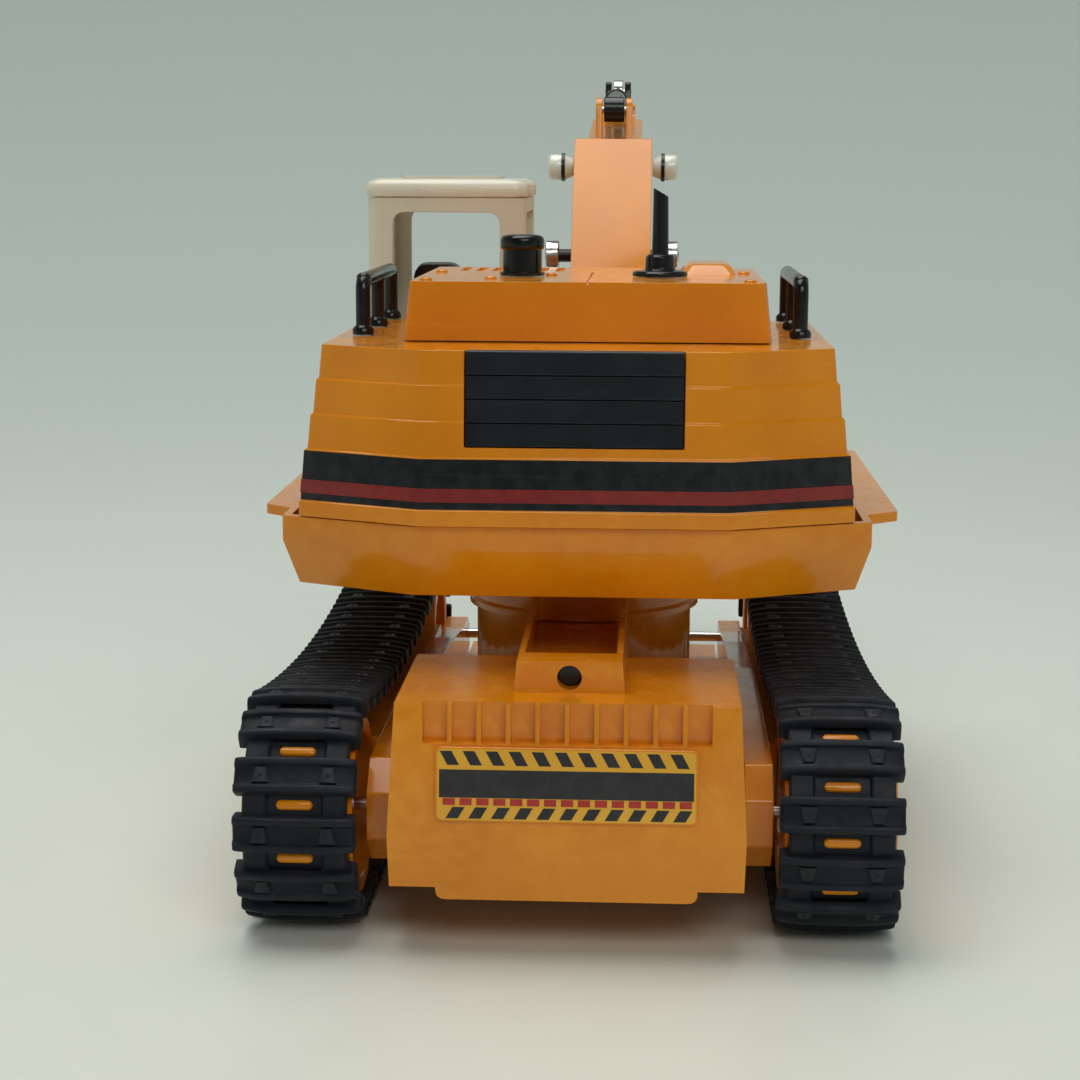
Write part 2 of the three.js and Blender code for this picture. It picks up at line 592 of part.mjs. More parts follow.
for (let i = 0; i < BATTERY_COUNT; i += 1) {
  const y = BATTERY_Y + (i - (BATTERY_COUNT - 1) / 2) * (2 * CELL_RADIUS + 0.4);
  const end = i % 2 === 0 ? 1 : -1;
  const profile = [[-CELL_LENGTH / 2, 0], [-CELL_LENGTH / 2, CELL_RADIUS], [CELL_LENGTH / 2 - 1, CELL_RADIUS],
    [CELL_LENGTH / 2 - 1, 2.6], [CELL_LENGTH / 2, 2.6], [CELL_LENGTH / 2, 0]];
  const cell = turnedX(profile, 12).rotateZ(end > 0 ? 0 : Math.PI);
  piece(undercarriage, `battery_${i + 1}`, cell, black(), [0, y, BATTERY_Z]);
}
for (const [name, y] of screwPlaces) {
  piece(undercarriage, `belly_screw_${name}`, screwGeometry(16), steel(), [0, y, TUB_BOTTOM - GAP]);
}
piece(undercarriage, 'power_switch', join(block(-2, 2, -3, 3, -1.2, TUB_FLOOR + GAP),
  block(-4, 4, -5, 5, TUB_FLOOR + GAP, TUB_FLOOR + 2.3)), black(), [SWITCH_X, SWITCH_Y, TUB_BOTTOM]);

function labelPlate() {
  const halfWidth = LABEL_WIDTH / 2;
  const halfHeight = LABEL_HEIGHT / 2;
  const plate = block(-halfWidth, halfWidth, 0, LABEL_THICKNESS, -halfHeight, halfHeight);
  return plate.rotateX(Math.atan(rearLean / (CHASSIS_TOP - CHASSIS_CREASE)));
}
const LABEL_Z = CHASSIS_TOP - 17.6;
const labelY = CHASSIS_REAR - rearLean * (LABEL_Z - CHASSIS_CREASE) / (CHASSIS_TOP - CHASSIS_CREASE) + GAP;
piece(undercarriage, 'label_plate', labelPlate(), yellow(), [0, labelY, LABEL_Z]);

function sideFrame() {
  const rear = REAR_AXLE_Y + SIDE_FRAME_NOSE;
  const front = FRONT_AXLE_Y - SIDE_FRAME_NOSE;
  const corner = 7;
  const beamBottom = ROLLER_Z + ROLLER_RADIUS + 2;
  const nose = AXLE_Z + AXLE_HOLE + 3;
  const rail = sideProfile([
    [front + corner, SIDE_FRAME_BOTTOM], [rear - corner, SIDE_FRAME_BOTTOM],
    [rear, SIDE_FRAME_BOTTOM + corner],
    [rear, SIDE_FRAME_TOP - corner], [rear - corner, SIDE_FRAME_TOP], [rollerY(1), SIDE_FRAME_TOP],
    [rollerY(2), beamBottom + TRACK_BEAM_HEIGHT], [FRONT_AXLE_Y + 2 * corner, nose], [front + corner, nose],
    [front, nose - corner / 2], [front, SIDE_FRAME_BOTTOM + corner],
  ], SIDE_FRAME_X0, SIDE_FRAME_X1);
  const beamRear = REAR_AXLE_Y - TOOTH_RADIUS - 4;
  const beamFront = FRONT_AXLE_Y + TOOTH_RADIUS + 4;
  const beam = block(SIDE_FRAME_X1 - 1, reach - 3, beamFront, beamRear, beamBottom,
    beamBottom + TRACK_BEAM_HEIGHT);
  return cut(join(rail, beam), ...axleHoles(SIDE_FRAME_X0 - 1, SIDE_FRAME_X1 + 0.5));
}

function mirrored(geometry) {
  const flipped = geometry.clone().scale(-1, 1, 1);
  const index = flipped.index.array;
  for (let i = 0; i < index.length; i += 3) {
    [index[i], index[i + 1]] = [index[i + 1], index[i]];
  }
  return flipped;
}

const LEFT_TOOTH = Math.PI / TOOTH_COUNT; // the two sprockets stand half a pitch apart
const firstTooth = { left: LEFT_TOOTH, right: 0 };
for (const [side, sign] of sides) {
  const frame = sideFrame();
  piece(undercarriage, `side_frame_${side}`, sign > 0 ? frame : mirrored(frame), yellow());
  piece(undercarriage, `belt_${side}`, beltGeometry(sign * TRACK_CENTRE, firstTooth[side]), rubber());
}

// Wheels on their axles
piece(undercarriage, 'rear_axle', rodX(-reach, reach, 0, 0, AXLE_DIAMETER / 2), steel(),
  [0, REAR_AXLE_Y, AXLE_Z]);
piece(undercarriage, 'front_axle', rodX(-reach, reach, 0, 0, AXLE_DIAMETER / 2), steel(),
  [0, FRONT_AXLE_Y, AXLE_Z]);
for (const [side, sign] of sides) {
  piece(undercarriage, `sprocket_${side}`, sprocketGeometry(firstTooth[side]), yellow(),
    [sign * TRACK_CENTRE, REAR_AXLE_Y, AXLE_Z]);
  piece(undercarriage, `idler_${side}`, wheelGeometry(), yellow(),
    [sign * TRACK_CENTRE, FRONT_AXLE_Y, AXLE_Z]);
}
for (let i = 0; i < ROLLER_COUNT; i += 1) {
  const x0 = TRACK_CENTRE - ROLLER_WIDTH / 2;
  const x1 = TRACK_CENTRE + ROLLER_WIDTH / 2;
  const axle = ROLLER_AXLE_DIAMETER / 2;
  const set = turnedX([[-x1, 0], [-x1, ROLLER_RADIUS], [-x0, ROLLER_RADIUS], [-x0, axle],
    [x0, axle], [x0, ROLLER_RADIUS], [x1, ROLLER_RADIUS], [x1, 0]], 16);
  piece(undercarriage, `roller_set_${i + 1}`, set, yellow(), [0, rollerY(i), ROLLER_Z]);
}

// Gear train: motor pinion to the gear on the rear axle
const GEAR_SPREAD = 0.3;
const gearDistance = GEAR_MODULE * (GEAR_TEETH + PINION_TEETH) / 2 + GEAR_SPREAD;
const MOTOR_Y = REAR_AXLE_Y - gearDistance;
const MOTOR_X1 = GEAR_X - GEAR_WIDTH / 2 - 3;
piece(undercarriage, 'axle_gear', gearGeometry(GEAR_TEETH, AXLE_HOLE, Math.PI), cream(),
  [GEAR_X, REAR_AXLE_Y, AXLE_Z]);
piece(undercarriage, 'motor', cut(
  rodX(MOTOR_X1 - MOTOR_LENGTH, MOTOR_X1, 0, 0, MOTOR_RADIUS, 16),
  rodX(MOTOR_X1 - 6, MOTOR_X1 + 1, 0, 0, 1 + GAP, 12)), steel(), [0, MOTOR_Y, AXLE_Z]);
piece(undercarriage, 'drive_pinion', join(
  gearGeometry(PINION_TEETH, 0, Math.PI / PINION_TEETH).translate(GEAR_X, 0, 0),
  rodX(MOTOR_X1 - 5, GEAR_X, 0, 0, 1, 12)), steel(), [0, MOTOR_Y, AXLE_Z]);

// ---------------------------------------------------------------- slewing joint
const turretFloor = CHASSIS_TOP + GAP;
piece(undercarriage, 'turret_base', turnedZ(closedLoop([
  [SPINDLE_RADIUS + 3, turretFloor], [TURRET_RADIUS, turretFloor], [TURRET_RADIUS, TURRET_SPLIT],
  [SPINDLE_RADIUS + 3, TURRET_SPLIT],
]), 24), yellow());

const house = new THREE.Group();
machine.add(house);
const spindleEnd = CHASSIS_TOP - CHASSIS_WALL - GAP;
const SPINDLE_BORE = 3;
piece(house, 'turntable', turnedZ(closedLoop([
  [SPINDLE_BORE, spindleEnd], [SPINDLE_RADIUS, spindleEnd], [SPINDLE_RADIUS, TURRET_SPLIT + GAP],
  [TURRET_RADIUS - 2, TURRET_SPLIT + GAP], [TURRET_RADIUS - 2, DECK_BOTTOM - GAP],
  [SPINDLE_BORE, DECK_BOTTOM - GAP],
]), 24), yellow());
const retainerTop = spindleEnd - GAP;
const RETAINER_THICKNESS = 2.2;
piece(house, 'slew_retainer', turnedZ(closedLoop([
  [SCREW_DIAMETER / 2 + GAP, retainerTop - RETAINER_THICKNESS],
  [SPINDLE_RADIUS + 4, retainerTop - RETAINER_THICKNESS],
  [SPINDLE_RADIUS + 4, retainerTop], [SCREW_DIAMETER / 2 + GAP, retainerTop],
]), 16), steel());
piece(house, 'slew_screw', screwGeometry(14), steel(), [0, 0, retainerTop - RETAINER_THICKNESS - GAP]);

// ---------------------------------------------------------------- house
function deckPlan(inset, z) {
  const tuck = Math.max(0, (DECK_CREASE - z) / (DECK_CREASE - DECK_BOTTOM));
  return {
    z,
    points: housePlan(DECK_HALF_WIDTH - 3.1 * tuck - inset, FACET_HALF_WIDTH + 0.5 * tuck,
      DECK_REAR - 5.4 * tuck - inset, DECK_BEVEL_SETBACK, DECK_FRONT + inset),
  };
}

function cheekProfile() {
  const [y, z] = BOOM_FOOT;
  const [footY, footZ] = BOOM_CYLINDER_FOOT;
  const reachUp = 7;
  return [
    [footY - 4, DECK_BOTTOM + 1], [y + 22, DECK_BOTTOM + 1], [y + reachUp, z + 3],
    [y + 3, z + reachUp], [y - 4, z + reachUp], [y - reachUp, z + 2],
    [footY + 2, footZ + 4], [footY - 4, footZ + 3],
  ];
}

function deckTray() {
  const outer = loft([DECK_BOTTOM, DECK_CREASE, DECK_TOP].map((z) => deckPlan(0, z)));
  const wings = block(-WING_HALF_WIDTH, WING_HALF_WIDTH, DECK_FRONT, WING_REAR, WING_TOP - WING_THICKNESS,
    WING_TOP);
  const floor = DECK_BOTTOM + DECK_WALL;
  const inner = loft([deckPlan(DECK_WALL, floor), deckPlan(DECK_WALL, DECK_CREASE),
    deckPlan(DECK_WALL, DECK_TOP + 1)]);
  const half = BOOM_WIDTH / 2 + GAP;
  const cheeks = [-half - CHEEK_THICKNESS, half].map((x) => sideProfile(cheekProfile(), BOOM_X + x,
    BOOM_X + x + CHEEK_THICKNESS, [[...BOOM_FOOT, PIN_RADIUS + GAP]]));
  const mouth = block(BOOM_X - 30, CAB_INNER_X - 1, DECK_FRONT - 1, DECK_FRONT + DECK_WALL + 1,
    floor, DECK_TOP + 1);
  const stubs = [-1, 1].map((sign) => {
    const ends = [sign * (half + 1), sign * (BOOM_CYLINDER_X + 2.6)].sort((p, q) => p - q);
    return rodX(BOOM_X + ends[0], BOOM_X + ends[1], ...BOOM_CYLINDER_FOOT, PIN_RADIUS / 2);
  });
  return join(cut(join(outer, wings), inner, mouth), ...cheeks, ...stubs);
}
piece(house, 'deck_tray', deckTray(), yellow());

// The house wall: a black band zone below three stepped courses.
const COURSE_COUNT = 3;
const courseHeight = (HOUSE_TOP - BAND_TOP) / COURSE_COUNT;
function wallPlan(inset, z, step) {
  const drop = (HOUSE_TOP - z) / (HOUSE_TOP - BAND_TOP);
  const out = 2.2 * Math.min(drop, 1.4) + step * COURSE_STEP;
  return {
    z,
    points: housePlan(HOUSE_HALF_WIDTH + out - inset, FACET_HALF_WIDTH - 1.6, HOUSE_REAR + 0.6 * out - inset,
      DECK_BEVEL_SETBACK - 0.6, HOUSE_FRONT + inset),
  };
}

function houseShell() {
  const floor = DECK_TOP + GAP;
  const ledge = 0.01;
  const edges = [[floor, COURSE_COUNT + 1], [BAND_BOTTOM, COURSE_COUNT + 1],
    [BAND_BOTTOM + ledge, COURSE_COUNT],
    [BAND_TOP, COURSE_COUNT]];
  for (let i = COURSE_COUNT - 1; i >= 0; i -= 1) {
    const bottom = HOUSE_TOP - (i + 1) * courseHeight;
    edges.push([bottom + ledge, i], [bottom + courseHeight, i]);
  }
  const outer = loft(edges.map(([z, step]) => wallPlan(0, z, step)));
  const inner = loft([wallPlan(HOUSE_WALL, floor - 1, 1), wallPlan(HOUSE_WALL, BAND_TOP, 1),
    wallPlan(HOUSE_WALL, HOUSE_TOP - HOUSE_WALL, 0)]);
  const width = HOUSE_HALF_WIDTH + 2;
  const apron = block(-width, width, HOUSE_FRONT, HOUSE_FRONT + HOUSE_WALL, DECK_BOTTOM + DECK_WALL + GAP,
    floor + 1);
  const notch = block(-GRILLE_HALF_WIDTH - GAP, GRILLE_HALF_WIDTH + GAP, HOUSE_REAR - GRILLE_THICKNESS + 0.9,
    HOUSE_REAR + 10, GRILLE_BOTTOM - GAP, HOUSE_TOP + 1);
  return cut(join(cut(outer, inner), apron), notch);
}
piece(house, 'house_shell', houseShell(), yellow());

function grilleGeometry() {
  const slatCount = 4;
  const inner = HOUSE_REAR - GRILLE_THICKNESS + 0.9 + GAP;
  const slat = (HOUSE_TOP - GRILLE_BOTTOM) / slatCount;
  const points = [[inner, HOUSE_TOP]];
  points.push([inner, GRILLE_BOTTOM]);
  for (let i = 0; i < slatCount; i += 1) {
    const bottom = GRILLE_BOTTOM + i * slat;
    const out = HOUSE_REAR + 0.6 * 2.2 * (HOUSE_TOP - bottom) / (HOUSE_TOP - BAND_TOP) + 0.9;
    points.push([out, bottom], [out - 0.9, bottom + slat]);
  }
  return sideProfile(points, -GRILLE_HALF_WIDTH, GRILLE_HALF_WIDTH);
}
piece(house, 'rear_grille', grilleGeometry(), black());

function hoodCover() {
  const floor = HOUSE_TOP + GAP;
  const plan = (inset, z) => {
    const draft = HOOD_DRAFT * (z - floor) / (HOOD_TOP - floor) + inset;
    return { z, points: rectangle(HOOD_HALF_WIDTH - draft, HOOD_FRONT + draft, HOOD_REAR - draft, HOOD_X) };
  };
  const outer = loft([plan(0, floor), plan(0, HOOD_TOP)]);
  const inner = loft([plan(HOOD_WALL, floor - 1), plan(HOOD_WALL, HOOD_TOP - HOOD_WALL)]);
  const hump = loft([
    { z: HOOD_TOP - 1, points: rectangle(7, -6, 22, HOOD_X - 30) },
    { z: HOOD_TOP + 2.6, points: rectangle(5, -3, 19, HOOD_X - 30) },
  ]);
  return join(cut(outer, inner), hump);
}
piece(house, 'hood_cover', hoodCover(), yellow());

const towerFoot = HOOD_TOP + GAP;
piece(house, 'precleaner', turnedZ([[0, 0], [PRECLEANER_RADIUS - 0.5, 0],
  [PRECLEANER_RADIUS - 0.5, PRECLEANER_HEIGHT - 3],
  [PRECLEANER_RADIUS, PRECLEANER_HEIGHT - 2.6], [PRECLEANER_RADIUS, PRECLEANER_HEIGHT - 1.2],
  [PRECLEANER_RADIUS * 0.6, PRECLEANER_HEIGHT], [0, PRECLEANER_HEIGHT]], 20), black(),
[PRECLEANER_X, TOWER_Y, towerFoot]);

function exhaustStack() {
  const stack = turnedZ([[0, 0], [6.9, 0], [6.9, 1.3], [3.7, 1.6], [3.7, 5], [STACK_RADIUS, 5.4],
    [STACK_RADIUS, STACK_HEIGHT + 2], [0, STACK_HEIGHT + 2]], 16);
  const slantCut = block(-6, 6, -6, 6, 0, 8).rotateY(-Math.PI / 6).translate(0, 0, STACK_HEIGHT - 1);
  return cut(stack, slantCut);
}
piece(house, 'exhaust_stack', exhaustStack(), black(), [STACK_X, TOWER_Y, towerFoot]);

function handrail() {
  const top = RAIL_HEIGHT - RAIL_RADIUS;
  const middle = (RAIL_REAR + RAIL_FRONT) / 2;
  const posts = [RAIL_REAR, middle, RAIL_FRONT].map((y) => turnedZ([[0, 0], [RAIL_RADIUS + 1, 0],
    [RAIL_RADIUS + 1, 1.6], [RAIL_RADIUS, 2], [RAIL_RADIUS, top], [0, top]], 8).translate(0, y, 0));
  const bar = rodX(-RAIL_REAR - RAIL_RADIUS, -RAIL_FRONT + RAIL_RADIUS, 0, 0, RAIL_RADIUS, 8)
    .rotateZ(-Math.PI / 2).translate(0, 0, top);
  return join(bar, ...posts);
}
for (const [side, sign] of sides) {
  piece(house, `handrail_${side}`, handrail(), black(), [sign * RAIL_X, 0, HOUSE_TOP + GAP]);
}

// Right-hand tank cover beside the boom
const TANK_TOP = DECK_TOP + 24.2;
const tankX = [-HOUSE_HALF_WIDTH - 2, BOOM_X - BOOM_CYLINDER_X - BOOM_CYLINDER_RADIUS - 1.6];
const tankY = [DECK_FRONT + DECK_WALL + 0.6, HOUSE_FRONT - GAP];
function tankCover() {
  const floor = DECK_BOTTOM + DECK_WALL + GAP;
  const chamfer = 5;
  const side = sideProfile([[tankY[0], floor], [tankY[1], floor], [tankY[1], TANK_TOP],
    [tankY[0] + chamfer, TANK_TOP], [tankY[0], TANK_TOP - chamfer]], ...tankX);
  const hollow = block(tankX[0] + 2, tankX[1] - 2, tankY[0] + 2, tankY[1] - 2, floor - 1,
    TANK_TOP - chamfer - 1);
  return cut(side, hollow);
}
piece(house, 'tank_cover', tankCover(), yellow());

// Cab: an open frame of posts over a closed lower body
function cabBody() {
  const floor = DECK_BOTTOM + DECK_WALL + GAP;
  const outer = block(CAB_INNER_X, CAB_OUTER_X, CAB_FRONT + DECK_WALL, CAB_REAR, floor, CAB_TOP);
  const x0 = CAB_INNER_X + CAB_WALL;
  const x1 = CAB_OUTER_X - CAB_WALL;
  const y0 = CAB_FRONT + DECK_WALL + CAB_WALL;
  const y1 = CAB_REAR - CAB_WALL;
  const room = block(x0, x1, y0, y1, floor + CAB_WALL, CAB_TOP + 1);
  const head = CAB_TOP - 4;
  const post = CAB_POST - CAB_WALL;
  const sideWindow = block(CAB_INNER_X - 1, CAB_OUTER_X + 1, y0 + post, y1 - post, CAB_SILL, head);
  const endWindow = block(CAB_INNER_X + CAB_POST, CAB_OUTER_X - CAB_POST, CAB_FRONT - 1, CAB_REAR + 1,
    CAB_SILL, head);
  return cut(outer, room, sideWindow, endWindow);
}
piece(house, 'cab_body', cabBody(), cream());
function cabRoof() {
  const bottom = CAB_TOP + GAP;
  const front = CAB_FRONT + DECK_WALL;
  const points = (lip) => [[CAB_INNER_X - lip, front - lip], [CAB_OUTER_X + lip, front - lip],
    [CAB_OUTER_X + lip, CAB_REAR + lip], [CAB_INNER_X - lip, CAB_REAR + lip]];
  return loft([{ z: bottom, points: points(CAB_ROOF_LIP) }, { z: bottom + 3.2, points: points(CAB_ROOF_LIP) },
    { z: bottom + CAB_ROOF_THICKNESS, points: points(-1.6) }]);
}
piece(house, 'cab_roof', cabRoof(), cream());

const CAB_FLOOR = DECK_BOTTOM + DECK_WALL + GAP + CAB_WALL + GAP;
const SEAT_X = (CAB_INNER_X + CAB_OUTER_X) / 2 + 2.65;
const SEAT_Y = -44;
const SEAT_WIDTH = 17;
const SEAT_HEIGHT = 22;
const SEAT_BACK_TOP = 68;
function seatGeometry() {
  const cushion = SEAT_HEIGHT - 7;
  return sideProfile([[-10, 0], [9, 0], [15, SEAT_BACK_TOP - 2], [13, SEAT_BACK_TOP], [8, SEAT_BACK_TOP],
    [4, SEAT_HEIGHT], [-13, SEAT_HEIGHT], [-13, cushion], [-10, cushion - 2]],
  -SEAT_WIDTH / 2, SEAT_WIDTH / 2);
}
piece(house, 'seat', seatGeometry(), black(), [SEAT_X, SEAT_Y, CAB_FLOOR]);
function controlConsole() {
  const stand = block(-7, 7, -4, 4, 0, 30);
  const levers = [-4.5, 4.5].map((x) => rodZ(x, 0, 29, 40, 1.1, 10));
  return join(stand, ...levers);
}
piece(house, 'control_console', controlConsole(), black(), [SEAT_X, CAB_FRONT + 13, CAB_FLOOR]);

// ---------------------------------------------------------------- boom, arm and bucket
function towards([y0, z0], [y1, z1]) {
  const length = Math.hypot(y1 - y0, z1 - z0);
  return { length, along: [(y1 - y0) / length, (z1 - z0) / length] };
}

// A point the given distance along the line from one point to another, and the given height above it.
function beside(from, to, distance, above) {
  const { along } = towards(from, to);
  return [from[0] + along[0] * distance + along[1] * above, from[1] + along[1] * distance - along[0] * above];
}

// A rounded end about a centre: points on an arc between two angles given in degrees.
function arcPoints([y, z], radius, fromDegrees, toDegrees, steps) {
  const points = [];
  for (let i = 0; i <= steps; i += 1) {
    const angle = THREE.MathUtils.degToRad(fromDegrees + (toDegrees - fromDegrees) * i / steps);
    points.push([y + radius * Math.cos(angle), z + radius * Math.sin(angle)]);
  }
  return points;
}

const boomGroup = new THREE.Group();
house.add(boomGroup);
boomGroup.position.x = BOOM_X;

function boomBody() {
  const lower = towards(BOOM_FOOT, BOOM_BEND).length;
  const half = BOOM_DEPTH / 2;
  const endRadius = 6.5;
  const lowerPart = sideProfile([
    ...arcPoints(BOOM_FOOT, endRadius, -145, 15, 6),
    beside(BOOM_FOOT, BOOM_BEND, lower * 0.4, half),
    beside(BOOM_FOOT, BOOM_BEND, lower * 0.85, half),
    beside(BOOM_BEND, BOOM_TIP, 12, half),
    beside(BOOM_BEND, BOOM_TIP, 9, -half),
    beside(BOOM_FOOT, BOOM_BEND, lower, 1 - half),
    beside(BOOM_FOOT, BOOM_BEND, lower * 0.45, 1 - half),
  ], -BOOM_WIDTH / 2, BOOM_WIDTH / 2);
  const upperPart = sideProfile([
    beside(BOOM_BEND, BOOM_TIP, 0, 1 - half),
    beside(BOOM_BEND, BOOM_TIP, 14, 1 - half),
    ...arcPoints(BOOM_TIP, endRadius, 262, 80, 6),
    beside(BOOM_BEND, BOOM_TIP, 8, half - 1),
  ], -BOOM_TIP_WIDTH / 2, BOOM_TIP_WIDTH / 2);
  const fork = block(-ARM_WIDTH / 2 - GAP, ARM_WIDTH / 2 + GAP, BOOM_TIP[0] - 10, BOOM_TIP[0] + 12,
    BOOM_TIP[1] - 20, BOOM_TIP[1] + 20);
  const lugs = [-1, 1].map((sign) => {
    const near = ARM_CYLINDER_RADIUS + GAP;
    const faces = [sign * near, sign * (near + 2)].sort((p, q) => p - q);
    return sideProfile([
      beside(BOOM_BEND, BOOM_TIP, 4, half - 3), beside(BOOM_BEND, BOOM_TIP, 20, half - 3),
      ...arcPoints(ARM_CYLINDER_FOOT, 3.6, 180, 0, 4),
    ], ...faces, [[...ARM_CYLINDER_FOOT, PIN_RADIUS / 2 + GAP]]);
  });
  const pinBores = [BOOM_FOOT, BOOM_TIP, BOOM_CYLINDER_HEAD].map(([y, z]) =>
    rodX(-BOOM_WIDTH, BOOM_WIDTH, y, z, PIN_RADIUS + GAP, 12));
  return cut(join(lowerPart, upperPart, ...lugs), fork, ...pinBores);
}
piece(boomGroup, 'boom', boomBody(), yellow());

function pin(halfLength, [y, z], radius = PIN_RADIUS) {
  return rodX(-halfLength, halfLength, y, z, radius, 12);
}
const cheekOuter = BOOM_WIDTH / 2 + GAP + CHEEK_THICKNESS;
piece(boomGroup, 'boom_pin', pin(cheekOuter, BOOM_FOOT), steel());
piece(boomGroup, 'boom_cylinder_pin', pin(BOOM_CYLINDER_X + 2.2, BOOM_CYLINDER_HEAD), steel());
piece(boomGroup, 'arm_pin', pin(BOOM_TIP_WIDTH / 2, BOOM_TIP), steel());

for (const [side, sign] of sides) {
  const x = sign * (BOOM_WIDTH / 2 + GAP + LAMP_SIZE / 2);
  const radius = LAMP_SIZE / 2;
  const lamp = turnedX([[-radius, 0], [-radius, 3], [-1, radius], [radius - 1, radius], [radius, 3],
    [radius, 0]], 12);
  piece(boomGroup, `work_lamp_${side}`, lamp, cream(), [x, BOOM_BEND[0] + 2, BOOM_BEND[1] + 2]);
}

// A cylinder lies from its foot pin to its head pin; the rod slides out of the barrel.
function barrelGeometry(foot, head, radius, share, eyeHalfWidth, pinRadius) {
  const { length, along } = towards(foot, head);
  const tube = turnedZ([[0, -1], [radius, -1], [radius, length * share], [0, length * share]], 14);
  const bore = rodZ(0, 0, radius + 2, length * share + 1, radius * ROD_RATIO + GAP, 12);
  const eye = rodX(-eyeHalfWidth, eyeHalfWidth, 0, 0, radius + 0.6, 12);
  const hole = rodX(-eyeHalfWidth - 1, eyeHalfWidth + 1, 0, 0, pinRadius + GAP, 12);
  const body = cut(join(tube, eye), bore, hole);
  return lie(body, along, foot);
}

function rodGeometry(foot, head, radius, overlap, eyeHalfWidth, pinRadius, play) {
  const { length, along } = towards(foot, head);
  const rod = rodZ(0, 0, overlap, length, radius * ROD_RATIO, 12);
  const eye = rodX(-eyeHalfWidth, eyeHalfWidth, 0, 0, pinRadius + play + 1.4, 14).translate(0, 0, length);
  const hole = rodX(-eyeHalfWidth - 1, eyeHalfWidth + 1, 0, 0, pinRadius + play, 14).translate(0, 0, length);
  return lie(cut(join(rod, eye), hole), along, foot);
}

function lie(geometry, [alongY, alongZ], [y, z]) {
  return geometry.clone().rotateX(Math.atan2(-alongY, alongZ)).translate(0, y, z);
}

for (const [side, sign] of sides) {
  const x = sign * BOOM_CYLINDER_X;
  piece(boomGroup, `boom_cylinder_${side}`, barrelGeometry(BOOM_CYLINDER_FOOT, BOOM_CYLINDER_HEAD,
    BOOM_CYLINDER_RADIUS, 0.62, 2, PIN_RADIUS / 2), black(), [x, 0, 0]);
  piece(boomGroup, `boom_rod_${side}`, rodGeometry(BOOM_CYLINDER_FOOT, BOOM_CYLINDER_HEAD,
    BOOM_CYLINDER_RADIUS, 18, 2, PIN_RADIUS, BOOM_ROD_PLAY), steel(), [x, 0, 0]);
}
piece(boomGroup, 'arm_cylinder', barrelGeometry(ARM_CYLINDER_FOOT, ARM_HORN, ARM_CYLINDER_RADIUS, 0.6,
  ARM_CYLINDER_RADIUS, PIN_RADIUS / 2), black());
piece(boomGroup, 'arm_rod', rodGeometry(ARM_CYLINDER_FOOT, ARM_HORN, ARM_CYLINDER_RADIUS, 24,
  1.6, PIN_RADIUS / 2, ARM_ROD_PLAY), steel());

const armGroup = new THREE.Group();
boomGroup.add(armGroup);
function armBody() {
  const half = ARM_WIDTH / 2;
  const spine = sideProfile([
    [ARM_HORN[0] + 3.5, ARM_HORN[1] + 3.5], [ARM_HORN[0] - 3.5, ARM_HORN[1] + 3.5],
    [ARM_HORN[0] - 6, ARM_HORN[1] - 8], [BOOM_TIP[0] - 24, BOOM_TIP[1] - 14],
    [BOOM_TIP[0] - 22, BOOM_TIP[1] - 34], [ARM_END[0] - 5.5, ARM_END[1] + 4],
    [ARM_END[0] - 3, ARM_END[1] - 5], [ARM_END[0] + 3, ARM_END[1] - 5], [ARM_END[0] + 5.5, ARM_END[1] + 2],
    [BOOM_TIP[0] + 6.5, BOOM_TIP[1] - 14], [BOOM_TIP[0] + 6.5, BOOM_TIP[1] + 4],
    [BOOM_TIP[0] - 6, BOOM_TIP[1] + 8],
  ], -half, half);
  const hornSlot = block(-2.2, 2.2, ARM_HORN[0] - 12, ARM_HORN[0] + 9, ARM_HORN[1] - 5.5, ARM_HORN[1] + 9);
  const bores = [
    pin(half + 1, BOOM_TIP, PIN_RADIUS + GAP),
    pin(half + 1, ARM_END, PIN_RADIUS + GAP),
  ];
  const lugs = [-1, 1].map((sign) => block(sign > 0 ? BUCKET_CYLINDER_RADIUS + GAP : -half,
    sign > 0 ? half : -BUCKET_CYLINDER_RADIUS - GAP, BUCKET_CYLINDER_FOOT[0] - 3, BUCKET_CYLINDER_FOOT[0] + 6,
    BUCKET_CYLINDER_FOOT[1] - 4, BUCKET_CYLINDER_FOOT[1] + 4));
  const slot = block(-BUCKET_CYLINDER_RADIUS - GAP, BUCKET_CYLINDER_RADIUS + GAP, BUCKET_CYLINDER_FOOT[0] - 8,
    BUCKET_CYLINDER_FOOT[0] + 5.4, BUCKET_CYLINDER_FOOT[1] - 60, BUCKET_CYLINDER_FOOT[1] + 5.4);
  const footBore = pin(half + 1, BUCKET_CYLINDER_FOOT, PIN_RADIUS / 2 + GAP);
  const rodGroove = block(-2.2, 2.2, ARM_END[0] - 14, ARM_END[0] - 3.4, ARM_END[1] + 4, ARM_END[1] + 40);
  const hornPin = pin(half - 0.5, ARM_HORN, PIN_RADIUS / 2);
  return join(cut(join(spine, ...lugs), hornSlot, slot, rodGroove, footBore, ...bores), hornPin);
}
piece(armGroup, 'arm', armBody(), yellow());
const bucketCheek = ARM_WIDTH / 2 + GAP + 2.4;
piece(armGroup, 'bucket_pin', pin(bucketCheek, ARM_END), steel());
piece(armGroup, 'bucket_cylinder', barrelGeometry(
  BUCKET_CYLINDER_FOOT, BUCKET_HORN, BUCKET_CYLINDER_RADIUS, 0.6,
  BUCKET_CYLINDER_RADIUS, PIN_RADIUS / 2), black());
piece(armGroup, 'bucket_rod', rodGeometry(BUCKET_CYLINDER_FOOT, BUCKET_HORN, BUCKET_CYLINDER_RADIUS, 26,
  1.6, PIN_RADIUS / 2, BUCKET_ROD_PLAY), steel());

